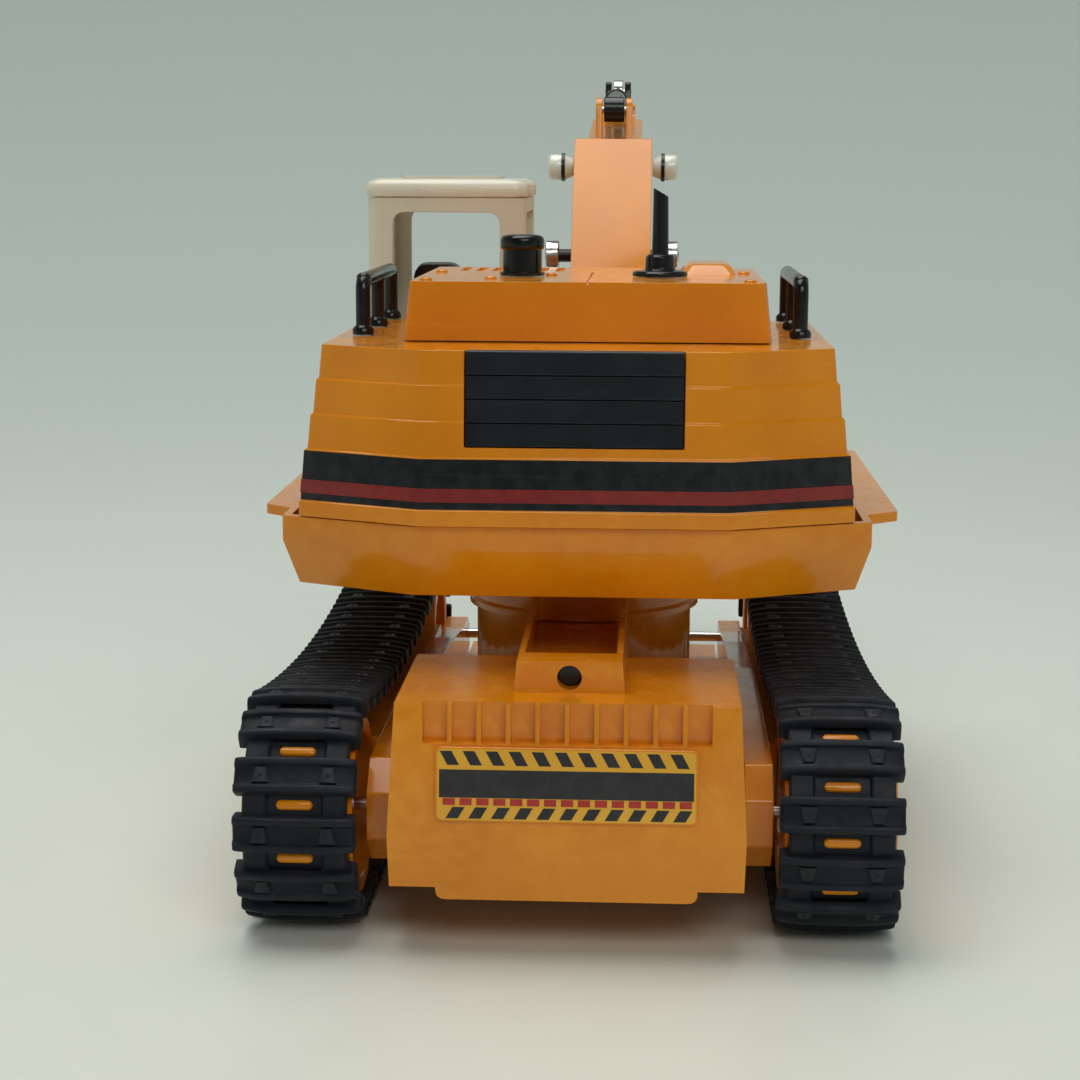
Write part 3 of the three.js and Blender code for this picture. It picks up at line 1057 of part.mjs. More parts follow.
const bucketGroup = new THREE.Group();
armGroup.add(bucketGroup);
function bucketBody() {
  const half = BUCKET_WIDTH / 2;
  const centre = [ARM_END[0] + 2, ARM_END[1] - BUCKET_RADIUS - 7];
  const outer = arcPoints(centre, BUCKET_RADIUS, 95, 300, 9);
  const inner = arcPoints(centre, BUCKET_RADIUS - BUCKET_WALL, 95, 300, 9).reverse();
  const lip = [centre[0] + 23, centre[1] - 14];
  const scoop = sideProfile([...outer, lip, ...inner], -half, half);
  const cheekOutline = [...arcPoints(centre, BUCKET_RADIUS - 0.6, 92, 300, 9), [lip[0] - 1, lip[1] + 0.8]];
  const cheeks = [-half, half - BUCKET_WALL].map((x) => sideProfile(cheekOutline, x, x + BUCKET_WALL));
  const lugs = [-bucketCheek, ARM_WIDTH / 2 + GAP].map((x) => sideProfile([
    [centre[0] - 20, centre[1] + 8], [centre[0] + 1, centre[1] + BUCKET_RADIUS - 1],
    [ARM_END[0] + 4, ARM_END[1] + 2], [ARM_END[0], ARM_END[1] + 4.4],
    [BUCKET_HORN[0] + 2, BUCKET_HORN[1] + 4],
    [BUCKET_HORN[0] - 4, BUCKET_HORN[1] + 1],
  ], x, x + 2.4, [[...ARM_END, PIN_RADIUS + GAP], [...BUCKET_HORN, PIN_RADIUS / 2]]));
  const crossPin = pin(bucketCheek - 0.5, BUCKET_HORN, PIN_RADIUS / 2);
  const teeth = [];
  const pitch = (BUCKET_WIDTH - 5) / (BUCKET_TOOTH_COUNT - 1);
  for (let i = 0; i < BUCKET_TOOTH_COUNT; i += 1) {
    const x = -half + 2.5 + i * pitch;
    const tooth = [[lip[0] - 4, lip[1] - 2.6], [lip[0] + 7, lip[1] + 4.4], [lip[0] - 3, lip[1] + 1.4]];
    teeth.push(sideProfile(tooth, x - 1.8, x + 1.8));
  }
  return join(scoop, ...cheeks, ...lugs, crossPin, ...teeth);
}
piece(bucketGroup, 'bucket', bucketBody(), black());

const extent = new THREE.Box3().setFromObject(machine);
machine.position.y = -(extent.min.y + extent.max.y) / 2;
const part = new THREE.Group();
part.add(machine);

export default part;
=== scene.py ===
import math

import bmesh
import bpy
from mathutils import Matrix, Vector


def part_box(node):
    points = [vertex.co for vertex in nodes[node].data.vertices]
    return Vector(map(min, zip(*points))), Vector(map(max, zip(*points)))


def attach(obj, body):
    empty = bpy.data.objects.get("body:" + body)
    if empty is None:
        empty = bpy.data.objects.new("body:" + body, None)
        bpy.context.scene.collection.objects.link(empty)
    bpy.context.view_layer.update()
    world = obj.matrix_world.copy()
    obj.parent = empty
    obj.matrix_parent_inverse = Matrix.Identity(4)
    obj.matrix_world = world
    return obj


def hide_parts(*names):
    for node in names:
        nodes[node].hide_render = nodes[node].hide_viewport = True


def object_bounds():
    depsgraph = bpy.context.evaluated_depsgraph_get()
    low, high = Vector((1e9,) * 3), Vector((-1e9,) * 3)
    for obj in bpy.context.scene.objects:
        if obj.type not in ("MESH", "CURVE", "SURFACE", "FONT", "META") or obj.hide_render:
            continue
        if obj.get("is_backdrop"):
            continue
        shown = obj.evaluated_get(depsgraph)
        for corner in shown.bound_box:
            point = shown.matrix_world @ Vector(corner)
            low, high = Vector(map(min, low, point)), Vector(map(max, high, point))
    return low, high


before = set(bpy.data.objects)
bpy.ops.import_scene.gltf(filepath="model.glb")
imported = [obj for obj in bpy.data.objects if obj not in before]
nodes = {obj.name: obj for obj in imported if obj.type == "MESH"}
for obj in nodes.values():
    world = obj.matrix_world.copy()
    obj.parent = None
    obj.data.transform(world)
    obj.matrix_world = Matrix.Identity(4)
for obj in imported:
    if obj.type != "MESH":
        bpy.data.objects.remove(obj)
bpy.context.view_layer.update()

# Lengths are in millimetres. y is counted from the slewing axis and z from the ground.
MM = 0.001
turntable_low, turntable_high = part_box("turntable")
SLEW_Y = (turntable_low.y + turntable_high.y) / 2 / MM

# ---------------------------------------------------------------- shapes: (vertices, faces)


def box(x0, x1, y0, y1, z0, z1):
    verts = [(x, y, z) for z in (z0, z1) for y in (y0, y1) for x in (x0, x1)]
    faces = [(0, 2, 3, 1), (4, 5, 7, 6), (0, 1, 5, 4), (2, 6, 7, 3), (0, 4, 6, 2), (1, 3, 7, 5)]
    return verts, faces


def prism(points, axis, low, high):
    """An outline made solid along x (points are y, z), y (x, z) or z (x, y)."""
    def at(p, h):
        if axis == "x":
            return (h, p[0], p[1])
        if axis == "y":
            return (p[0], h, p[1])
        return (p[0], p[1], h)
    n = len(points)
    verts = [at(p, low) for p in points] + [at(p, high) for p in points]
    faces = [tuple(range(n)), tuple(range(n, 2 * n))]
    faces += [(i, (i + 1) % n, n + (i + 1) % n, n + i) for i in range(n)]
    return verts, faces


def loft(levels):
    n = len(levels[0])
    verts = [tuple(p) for level in levels for p in level]
    last = (len(levels) - 1) * n
    faces = [tuple(range(n)), tuple(range(last, last + n))]
    for k in range(len(levels) - 1):
        for i in range(n):
            a, b = k * n + i, k * n + (i + 1) % n
            faces.append((a, b, b + n, a + n))
    return verts, faces


def lathe(profile, axis="x", centre=(0, 0, 0), segments=48, closed=False):
    """A turned shape from (along, radius) points about an axis through centre."""
    verts, faces, rings = [], [], []
    for along, radius in profile:
        if radius < 1e-6:
            rings.append([len(verts)])
            verts.append((along, 0.0, 0.0))
            continue
        rings.append(list(range(len(verts), len(verts) + segments)))
        for i in range(segments):
            a = 2 * math.pi * i / segments
            verts.append((along, radius * math.cos(a), radius * math.sin(a)))
    pairs = list(zip(rings, rings[1:])) + ([(rings[-1], rings[0])] if closed else [])
    for r0, r1 in pairs:
        for i in range(segments):
            j = (i + 1) % segments
            if len(r0) == 1 and len(r1) == 1:
                continue
            if len(r0) == 1:
                faces.append((r0[0], r1[i], r1[j]))
            elif len(r1) == 1:
                faces.append((r0[i], r0[j], r1[0]))
            else:
                faces.append((r0[i], r0[j], r1[j], r1[i]))
    if not closed:
        for ring in (rings[0], rings[-1]):
            if len(ring) > 1:
                faces.append(tuple(ring))
    order = {"x": lambda v: v, "y": lambda v: (v[1], v[0], v[2]), "z": lambda v: (v[1], v[2], v[0])}[axis]
    cx, cy, cz = centre
    verts = [tuple(q + c for q, c in zip(order(v), (cx, cy, cz))) for v in verts]
    return verts, faces


def pipe(path, radius, segments=14):
    """A tube swept along a path, capped at both ends."""
    points = [Vector(p) for p in path]
    verts, faces = [], []
    side = None
    for i, p in enumerate(points):
        ahead = points[min(i + 1, len(points) - 1)] - points[max(i - 1, 0)]
        ahead.normalize()
        if side is None:
            side = ahead.orthogonal().normalized()
        side = (side - ahead * side.dot(ahead)).normalized()
        up = ahead.cross(side)
        for k in range(segments):
            a = 2 * math.pi * k / segments
            verts.append(tuple(p + radius * (math.cos(a) * side + math.sin(a) * up)))
    n = segments
    for i in range(len(points) - 1):
        for k in range(n):
            faces.append((i * n + k, i * n + (k + 1) % n, (i + 1) * n + (k + 1) % n, (i + 1) * n + k))
    faces.append(tuple(range(n)))
    faces.append(tuple(range((len(points) - 1) * n, len(points) * n)))
    return verts, faces


def merged(*shapes):
    verts, faces = [], []
    for v, f in shapes:
        base = len(verts)
        verts += list(v)
        faces += [tuple(base + i for i in face) for face in f]
    return verts, faces


def moved(shape, dx=0, dy=0, dz=0, turn=None):
    verts, faces = shape
    out = []
    for v in verts:
        w = turn @ Vector(v) if turn else Vector(v)
        out.append((w.x + dx, w.y + dy, w.z + dz))
    return out, faces


def span(side, near, far, centre=0.0):
    """The two ends along x of what stands from near to far out of centre, on the side +1 or -1."""
    return sorted((centre + side * near, centre + side * far))


def mirrored(shape):
    verts, faces = shape
    return [(-x, y, z) for x, y, z in verts], faces


def rounded(points, radius, steps=4):
    """An outline with its corners rounded."""
    out = []
    n = len(points)
    for i, point in enumerate(points):
        p = Vector(point)
        before, after = Vector(points[i - 1]) - p, Vector(points[(i + 1) % n]) - p
        angle = before.angle(after)
        r = radius[i] if isinstance(radius, (list, tuple)) else radius
        if r <= 0:
            out.append((p.x, p.y))
            continue
        back = min(r / math.tan(angle / 2), 0.48 * before.length, 0.48 * after.length)
        start, end = p + before.normalized() * back, p + after.normalized() * back
        for k in range(steps + 1):
            t = k / steps
            q = start * (1 - t) ** 2 + p * 2 * t * (1 - t) + end * t ** 2
            out.append((q.x, q.y))
    return out


def rectangle(x0, x1, y0, y1):
    return [(x0, y0), (x1, y0), (x1, y1), (x0, y1)]


def panel(sides, radius, axis, low, high, steps=4):
    """A rounded rectangle made solid."""
    return prism(rounded(rectangle(*sides), radius, steps), axis, low, high)


# ---------------------------------------------------------------- objects


def to_mesh(shape):
    verts, faces = shape
    mesh = bpy.data.meshes.new("shape")
    mesh.from_pydata([(x * MM, (y + SLEW_Y) * MM, z * MM) for x, y, z in verts], [], faces)
    bm = bmesh.new()
    bm.from_mesh(mesh)
    bmesh.ops.recalc_face_normals(bm, faces=bm.faces)
    bm.to_mesh(mesh)
    bm.free()
    return mesh


def link(name, mesh):
    obj = bpy.data.objects.new(name, mesh)
    bpy.context.scene.collection.objects.link(obj)
    return obj


def baked(obj):
    """Replaces an object's mesh with what its modifiers make of it."""
    bpy.context.view_layer.update()
    graph = bpy.context.evaluated_depsgraph_get()
    mesh = bpy.data.meshes.new_from_object(obj.evaluated_get(graph))
    obj.modifiers.clear()
    obj.data = mesh
    return obj


def combine(obj, shape, operation):
    tool = link("tool", to_mesh(shape))
    mod = obj.modifiers.new("bool", "BOOLEAN")
    mod.operation = operation
    mod.solver = "EXACT"
    mod.use_self = True
    mod.object = tool
    baked(obj)
    bpy.data.objects.remove(tool)
    return obj


def part(name, body, shape, material, stands_for=(), bevel=0.0, steps=2, work=(), sharp=32, slot=None):
    """A piece of the toy: shape, then each ("cut" or "add", shape) in work, its edges rounded by bevel mm."""
    obj = link(name, to_mesh(shape))
    for kind, tool in work:
        combine(obj, tool, {"cut": "DIFFERENCE", "add": "UNION"}[kind])
    obj.data.materials.clear()
    obj.data.materials.append(material)
    for poly in obj.data.polygons:
        poly.material_index = 0
    if bevel:
        mod = obj.modifiers.new("bevel", "BEVEL")
        mod.width = bevel * MM
        mod.segments = steps
        mod.limit_method = "ANGLE"
        mod.angle_limit = math.radians(28)
        mod.use_clamp_overlap = True
        mod.miter_outer = "MITER_ARC"
        baked(obj)
        obj.data.shade_smooth()
        obj.data.set_sharp_from_angle(angle=math.radians(50))
        weighted = obj.modifiers.new("normals", "WEIGHTED_NORMAL")
        weighted.keep_sharp = True
        weighted.weight = 50
    else:
        obj.data.shade_smooth()
        obj.data.set_sharp_from_angle(angle=math.radians(sharp))
    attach(obj, body)
    if stands_for:
        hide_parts(*([stands_for] if isinstance(stands_for, str) else stands_for))
    slot = slot or SLOTS[material]
    return obj


# ---------------------------------------------------------------- materials


class Nodes:
    def __init__(self, name):
        self.material = bpy.data.materials.new(name)
        self.material.use_nodes = True
        self.tree = self.material.node_tree
        self.tree.nodes.clear()
        self.out = self.tree.nodes.new("ShaderNodeOutputMaterial")
        self.bsdf = self.tree.nodes.new("ShaderNodeBsdfPrincipled")
        self.tree.links.new(self.bsdf.outputs[0], self.out.inputs[0])
        self.coord = self.tree.nodes.new("ShaderNodeTexCoord").outputs["Object"]
        self.geometry = self.tree.nodes.new("ShaderNodeNewGeometry")

    def link(self, a, b):
        self.tree.links.new(a, b)

    def noise(self, scale, detail=3, stretch=(1, 1, 1), rough=0.5):
        mapping = self.tree.nodes.new("ShaderNodeMapping")
        mapping.inputs["Scale"].default_value = stretch
        self.link(self.coord, mapping.inputs["Vector"])
        node = self.tree.nodes.new("ShaderNodeTexNoise")
        node.inputs["Scale"].default_value = scale
        node.inputs["Detail"].default_value = detail
        node.inputs["Roughness"].default_value = rough
        self.link(mapping.outputs[0], node.inputs["Vector"])
        return node.outputs[0]

    def ramp(self, value, low, high, to_low=0.0, to_high=1.0):
        node = self.tree.nodes.new("ShaderNodeMapRange")
        node.inputs["From Min"].default_value = low
        node.inputs["From Max"].default_value = high
        node.inputs["To Min"].default_value = to_low
        node.inputs["To Max"].default_value = to_high
        self.link(value, node.inputs["Value"])
        return node.outputs[0]

    def math(self, operation, a, b):
        node = self.tree.nodes.new("ShaderNodeMath")
        node.operation = operation
        for i, value in enumerate((a, b)):
            if isinstance(value, (int, float)):
                node.inputs[i].default_value = value
            else:
                self.link(value, node.inputs[i])
        return node.outputs[0]

    def mix(self, factor, a, b):
        node = self.tree.nodes.new("ShaderNodeMix")
        node.data_type = "RGBA"
        for socket, value in ((node.inputs[0], factor), (node.inputs[6], a), (node.inputs[7], b)):
            if isinstance(value, (int, float)):
                socket.default_value = value
            elif isinstance(value, tuple):
                socket.default_value = (*value, 1)
            else:
                self.link(value, socket)
        return node.outputs[2]

    def facing_up(self):
        node = self.tree.nodes.new("ShaderNodeSeparateXYZ")
        self.link(self.geometry.outputs["Normal"], node.inputs[0])
        return node.outputs[2]

    def bump(self, height, strength, distance):
        node = self.tree.nodes.new("ShaderNodeBump")
        node.inputs["Strength"].default_value = strength
        node.inputs["Distance"].default_value = distance
        self.link(height, node.inputs["Height"])
        if self.bsdf.inputs["Normal"].is_linked:
            self.link(self.bsdf.inputs["Normal"].links[0].from_socket, node.inputs["Normal"])
        self.link(node.outputs[0], self.bsdf.inputs["Normal"])

    def set(self, **values):
        for key, value in values.items():
            self.bsdf.inputs[key.replace("_", " ")].default_value = value


def plastic(name, colour, deep, rough, coat=0.25, dust=0.10, grain=0.10, worn=(0.0, 0.0, 0.0), wear=0.0,
            specular=0.5):
    n = Nodes(name)
    cloud = n.ramp(n.noise(38, 4), 0.35, 0.65)
    tint = n.mix(cloud, deep, colour)
    streak = n.ramp(n.noise(420, 2, (0.05, 1, 1)), 0.62, 0.72)
    tint = n.mix(n.math("MULTIPLY", streak, 0.10), tint, tuple(min(1, c * 1.35 + 0.02) for c in colour))
    if wear:
        edge = n.ramp(n.geometry.outputs["Pointiness"], 0.53, 0.60)
        spots = n.ramp(n.noise(260, 3), 0.40, 0.62)
        tint = n.mix(n.math("MULTIPLY", n.math("MULTIPLY", edge, spots), wear), tint, worn)
    settled = n.math("MULTIPLY", n.ramp(n.facing_up(), 0.55, 1.0), n.ramp(n.noise(170, 5), 0.42, 0.75))
    tint = n.mix(n.math("MULTIPLY", settled, dust), tint, (0.55, 0.52, 0.46))
    n.link(tint, n.bsdf.inputs["Base Color"])
    smear = n.math("ADD", n.ramp(n.noise(75, 4), 0.3, 0.7, rough * 0.82, rough * 1.25),
                   n.math("MULTIPLY", settled, 0.12))
    n.link(n.math("ADD", smear, n.math("MULTIPLY", streak, 0.08)), n.bsdf.inputs["Roughness"])
    n.bump(n.noise(1500, 2), grain, 0.00002)
    n.bump(n.noise(55, 2), 0.12, 0.00025)
    n.set(Coat_Weight=coat, Coat_Roughness=0.08, Specular_IOR_Level=specular, IOR=1.5)
    return n.material


def metal(name, colour, rough, stretch, aniso=0.5):
    n = Nodes(name)
    lines = n.noise(900, 3, stretch)
    n.link(n.mix(n.ramp(lines, 0.3, 0.7), tuple(c * 0.82 for c in colour), colour),
           n.bsdf.inputs["Base Color"])
    n.link(n.ramp(n.noise(140, 4), 0.3, 0.7, rough * 0.75, rough * 1.35), n.bsdf.inputs["Roughness"])
    n.bump(lines, 0.18, 0.00002)
    n.set(Metallic=1.0, Anisotropic=aniso)
    return n.material


def rubber(name):
    n = Nodes(name)
    cloud = n.ramp(n.noise(45, 4), 0.35, 0.68)
    tint = n.mix(cloud, (0.003, 0.005, 0.010), (0.009, 0.013, 0.022))
    chalk = n.math("MULTIPLY", n.ramp(n.noise(420, 6, rough=0.7), 0.50, 0.78),
                   n.ramp(n.facing_up(), -0.2, 1.0))
    tint = n.mix(n.math("MULTIPLY", chalk, 0.13), tint, (0.13, 0.13, 0.14))
    rub = n.ramp(n.geometry.outputs["Pointiness"], 0.52, 0.60)
    tint = n.mix(n.math("MULTIPLY", rub, 0.3), tint, (0.040, 0.046, 0.058))
    n.link(tint, n.bsdf.inputs["Base Color"])
    n.link(n.ramp(n.noise(230, 4), 0.3, 0.7, 0.46, 0.68), n.bsdf.inputs["Roughness"])
    n.bump(n.noise(1900, 3), 0.22, 0.00004)
    n.bump(n.noise(160, 3), 0.15, 0.00015)
    n.set(Specular_IOR_Level=0.25, Sheen_Weight=0.04, Sheen_Roughness=0.5)
    return n.material


def paper(name, tint_low, tint_high, rough=0.3):
    n = Nodes(name)
    n.link(n.mix(n.ramp(n.noise(300, 5), 0.35, 0.7), tint_low, tint_high), n.bsdf.inputs["Base Color"])
    n.link(n.ramp(n.noise(120, 3), 0.3, 0.7, rough * 0.8, rough * 1.3), n.bsdf.inputs["Roughness"])
    n.bump(n.noise(900, 2), 0.06, 0.00002)
    n.set(Coat_Weight=0.3, Coat_Roughness=0.15)
    return n.material


YELLOW = plastic("yellow_plastic", (0.80, 0.268, 0.002), (0.72, 0.228, 0.001), 0.20, coat=0.45, wear=0.30,
                 worn=(0.92, 0.44, 0.04), dust=0.05, specular=0.30)
BLACK = plastic("black_plastic", (0.006, 0.008, 0.012), (0.003, 0.004, 0.006), 0.20, coat=0.20, dust=0.03,
                wear=0.3,
                worn=(0.04, 0.042, 0.05), specular=0.3)
SLATE = plastic("slate_plastic", (0.010, 0.015, 0.019), (0.005, 0.008, 0.012), 0.36, coat=0.05, dust=0.03,
                wear=0.3,
                worn=(0.05, 0.055, 0.06), specular=0.22)
CREAM = plastic("cream_plastic", (0.80, 0.76, 0.62), (0.72, 0.69, 0.57), 0.34, dust=0.16, wear=0.3,
                worn=(0.90, 0.88, 0.80))
LENS = plastic("lamp_plastic", (0.82, 0.84, 0.74), (0.74, 0.78, 0.68), 0.20, coat=0.6, dust=0.06)
NYLON = plastic("nylon", (0.72, 0.69, 0.60), (0.64, 0.61, 0.53), 0.45, dust=0.05)
CELL = plastic("cell_wrap", (0.03, 0.032, 0.04), (0.02, 0.02, 0.026), 0.35)
STEEL = metal("steel", (0.66, 0.66, 0.67), 0.22, (1, 0.04, 0.04))
ROD = metal("rod_steel", (0.70, 0.70, 0.71), 0.16, (1, 1, 0.05))
RUBBER = rubber("track_rubber")
STICKER = plastic("sticker_yellow", (0.86, 0.45, 0.03), (0.80, 0.40, 0.02), 0.22, coat=0.5, dust=0.04)
INK = paper("sticker_black", (0.010, 0.010, 0.013), (0.022, 0.022, 0.027), 0.26)
RED = paper("sticker_red", (0.42, 0.022, 0.016), (0.50, 0.035, 0.022), 0.26)
STRIPE = paper("stripe_red", (0.20, 0.008, 0.008), (0.26, 0.014, 0.012), 0.28)

SLOTS = {YELLOW: "yellow_plastic", BLACK: "black_plastic", SLATE: "black_plastic", CREAM: "cream_plastic",
         LENS: "lamp_lens", STEEL: "steel", ROD: "steel", RUBBER: "track_rubber", STICKER: "label_plastic",
         INK: "label_plastic", RED: "label_plastic", STRIPE: "black_plastic"}

# ---------------------------------------------------------------- tracks
TOOTH_COUNT, SHOE_COUNT, RADIUS = 12, 44, 23.0
REAR_AXLE_Y, AXLE_Z = 95.0, 27.0
PITCH = 2 * math.pi * RADIUS / TOOTH_COUNT
TILT = math.radians(8)
slope = math.tan(TILT)
stretch = (math.sqrt(1 + slope ** 2) + math.asinh(slope) / slope) / 2
lost = 2 * RADIUS * math.sin(TILT)
WHEELBASE = (SHOE_COUNT * PITCH - 2 * RADIUS * (math.pi + TILT) + lost * stretch) / (1 + stretch)
FRONT_AXLE_Y = REAR_AXLE_Y - WHEELBASE
TRACK_X = 61.0
WHEEL_RADIUS = 20.7


def on_arc(cy, angle):
    n = (math.cos(angle), math.sin(angle))
    return cy + RADIUS * n[0], AXLE_Z + RADIUS * n[1], n


def belt_point(s):
    """Point and outward normal of the belt's pitch line, from the rearmost point upwards."""
    s %= SHOE_COUNT * PITCH
    upper = RADIUS * (math.pi / 2 + TILT)
    if s < upper:
        return on_arc(REAR_AXLE_Y, s / RADIUS)
    s -= upper
    span = WHEELBASE - lost
    if s < span * stretch:
        share = s / (span * stretch)
        tilt = math.atan(slope * (1 - 2 * share))
        return (REAR_AXLE_Y - lost / 2 - share * span,
                AXLE_Z + RADIUS * math.cos(TILT) - slope * span * share * (1 - share),
                (-math.sin(tilt), math.cos(tilt)))
    s -= span * stretch
    front = RADIUS * (math.pi + TILT)
    if s < front:
        return on_arc(FRONT_AXLE_Y, math.pi / 2 - TILT + s / RADIUS)
    s -= front
    if s < WHEELBASE:
        return FRONT_AXLE_Y + s, AXLE_Z - RADIUS, (0.0, -1.0)
    return on_arc(REAR_AXLE_Y, -math.pi / 2 + (s - WHEELBASE) / RADIUS)


def laid(shape, s, cx):
    """Carries a shape drawn flat (x across, y along, z outwards) onto the belt at distance s."""
    py, pz, (ny, nz) = belt_point(s)
    ty, tz = -nz, ny
    verts, faces = shape
    return [(cx + x, py + ty * a + ny * h, pz + tz * a + nz * h) for x, a, h in verts], faces


def shoe_shape(boss_up):
    """One tread shoe: two ridges along its long edges, a recess between them, a groove for the teeth below."""
    top = [(4.10, 1.2), (4.12, 2.4), (4.02, 3.45), (3.86, 3.80), (3.55, 3.98), (2.75, 4.0), (2.42, 3.84),
           (2.16, 3.25),
           (1.95, 2.98), (1.70, 2.90), (0.0, 2.88), (-1.70, 2.90), (-1.95, 2.98), (-2.16, 3.25),
           (-2.42, 3.84),
           (-2.75, 4.0), (-3.55, 3.98), (-3.86, 3.80), (-4.02, 3.45), (-4.12, 2.4), (-4.10, 1.2)]
    stations = [(-13.8, 0.86), (-13.66, 0.95), (-13.3, 0.99), (-12.4, 1), (-9.0, 1), (-6.05, 1), (-5.95, 1),
                (-3, 1),
                (0, 1), (3, 1), (5.95, 1), (6.05, 1), (9.0, 1), (12.4, 1), (13.3, 0.99), (13.66, 0.95),
                (13.8, 0.86)]
    levels = []
    for x, scale in stations:
        bottom = 1.68 if abs(x) < 6 else -1.4
        crown = 1.05 * (abs(x) / 13.8) ** 3.2
        level = [(x, a * scale, (bottom + (h - bottom) * (scale if h > 1.3 else 1)) - (crown
                                                                                       if h > 1.3 else 0))
                 for a, h in top]
        level = [(p[0], p[1], max(p[2], bottom + 0.1)) for p in level]
        level += [(x, -4.0 * scale, bottom), (x, 4.0 * scale, bottom)]
        levels.append(level)
    shapes = [loft(levels)]
    up = 1 if boss_up else -1
    for x in (-7.6, 7.6):
        foot = [(x - 1.9, -1.8 * up), (x + 1.9, -1.8 * up), (x + 1.15, 1.75 * up), (x - 1.15, 1.75 * up)]
        head = [(x - 1.6, -1.7 * up), (x + 1.6, -1.7 * up), (x + 0.95, 1.5 * up), (x - 0.95, 1.5 * up)]
        sag = 1.05 * (7.6 / 13.8) ** 3.2
        shapes.append(loft([[(*p, 2.5 - sag) for p in foot], [(*p, 3.5 - sag) for p in foot],
                            [(*p, 3.68 - sag) for p in head]]))
        shapes.append(lathe([(3.5 - sag, 0), (3.5 - sag, 0.42), (3.82 - sag, 0.42), (3.9 - sag, 0.3),
                             (3.9 - sag, 0)],
                            "z", (x, 0, 0), 10))
    return merged(*shapes)


def strap_ring(cx, x0, x1, low=-1.2, high=1.6):
    """A continuous band through every shoe, used for the two side straps and for the thin centre band of
    painted shade.
    """
    count = SHOE_COUNT * 6
    verts, faces = [], []
    cross = [(x0, low), (x1, low), (x1, high - 0.45), (x1 - 0.45, high), (x0 + 0.45, high),
             (x0, high - 0.45)]
    for i in range(count):
        y, z, (ny, nz) = belt_point(i * SHOE_COUNT * PITCH / count)
        for x, h in cross:
            verts.append((cx + x, y + ny * h, z + nz * h))
    m = len(cross)
    for i in range(count):
        for k in range(m):
            a, b = i * m + k, i * m + (k + 1) % m
            c, d = ((i + 1) % count) * m + k, ((i + 1) % count) * m + (k + 1) % m
            faces.append((a, b, d, c))
    return verts, faces


for side, sign, first in (("left", 1, math.pi / TOOTH_COUNT), ("right", -1, 0.0)):
    shoe = shoe_shape(side == "left")
    cx = sign * TRACK_X
    shapes = [laid(shoe, first * RADIUS + (k + 0.5) * PITCH, cx) for k in range(SHOE_COUNT)]
    # The thin centre band from x -6.5 to 6.5 is painted shade: dark rubber laid across the window so that the
    # slits beside the sprocket teeth show dark where the yellow wheel rim would show.
    shapes += [strap_ring(cx, -11.7, -6.3), strap_ring(cx, 6.3, 11.7), strap_ring(cx, -6.5, 6.5, 0.1, 0.7)]
    part(f"belt_{side}_tread", "undercarriage", merged(*shapes), RUBBER, f"belt_{side}", sharp=38)


def wheel_shape(width=12.5, spokes=6):
    """Rim, dished web, hub and spokes of one wheel, about x."""
    r = WHEEL_RADIUS
    profile = [(-width, r - 3.4), (-width, r - 0.5), (-width + 0.5, r), (width - 0.5, r), (width, r - 0.5),
               (width, r - 3.4), (width - 0.4, r - 3.9), (5.4, r - 4.3), (5.0, r - 4.8), (5.0, 8.2),
               (5.4, 7.6),
               (8.6, 6.9), (9.2, 6.4), (9.2, 2.4), (8.6, 1.7), (-8.6, 1.7), (-9.2, 2.4), (-9.2, 6.4),
               (-8.6, 6.9),
               (-5.4, 7.6), (-5.0, 8.2), (-5.0, r - 4.8), (-5.4, r - 4.3), (-width + 0.4, r - 3.9)]
    shapes = [lathe(profile, "x", segments=64, closed=True)]
    for k in range(spokes):
        a = 2 * math.pi * k / spokes
        turn = Matrix.Rotation(a, 3, "X")
        for s in (-1, 1):
            x0, x1 = span(s, 4.6, 7.4)
            shapes.append(moved(box(x0, x1, 6.6, r - 3.7, -0.9, 0.9), turn=turn))
    return merged(*shapes)


def tooth_shape():
    """A capsule-shaped sprocket tooth standing out along y, long across x."""
    levels = []
    for y, w, t in ((WHEEL_RADIUS - 1.2, 4.3, 1.25), (23.4, 4.2, 1.2), (24.0, 4.1, 1.1), (24.3, 3.9, 0.9),
                    (24.45, 3.6, 0.55)):
        ring = []
        for side_sign in (1, -1):
            for k in range(9):
                a = -math.pi / 2 + math.pi * k / 8
                ring.append((side_sign * (w - t + t * math.cos(a)), y, side_sign * t * math.sin(a)))
        levels.append(ring)
    seam = box(-3.9, 3.9, 23.2, 24.5, -0.1, 0.1)
    return merged(loft(levels), seam)


for side, sign, first in (("left", 1, math.pi / TOOTH_COUNT), ("right", -1, 0.0)):
    teeth = [moved(tooth_shape(), turn=Matrix.Rotation(first + 2 * math.pi * k / TOOTH_COUNT, 3, "X"))
             for k in range(TOOTH_COUNT)]
    part(f"sprocket_{side}_wheel", "drive_axle",
         moved(merged(wheel_shape(), *teeth), sign * TRACK_X, REAR_AXLE_Y, AXLE_Z), YELLOW,
         f"sprocket_{side}", sharp=40)
    part(f"idler_{side}_wheel", "idler_axle", moved(wheel_shape(spokes=5), sign * TRACK_X, FRONT_AXLE_Y,
                                                    AXLE_Z),
         YELLOW, f"idler_{side}", sharp=40)
for name, body, y in (("rear", "drive_axle", REAR_AXLE_Y), ("front", "idler_axle", FRONT_AXLE_Y)):
    part(f"{name}_axle_rod", body,
         lathe([(-73.5, 0), (-73.5, 1.2), (-73.1, 1.5), (73.1, 1.5), (73.5, 1.2), (73.5, 0)], "x",
               (0, y, AXLE_Z), 32),
         STEEL, f"{name}_axle")
BELT_INSIDE, ROLLER_RADIUS, GAP = 21.5, 11, 0.3
ROLLER_Z = AXLE_Z - BELT_INSIDE + GAP + ROLLER_RADIUS
ROLLER_YS = [REAR_AXLE_Y - WHEELBASE * (i + 1) / 4 for i in range(3)]
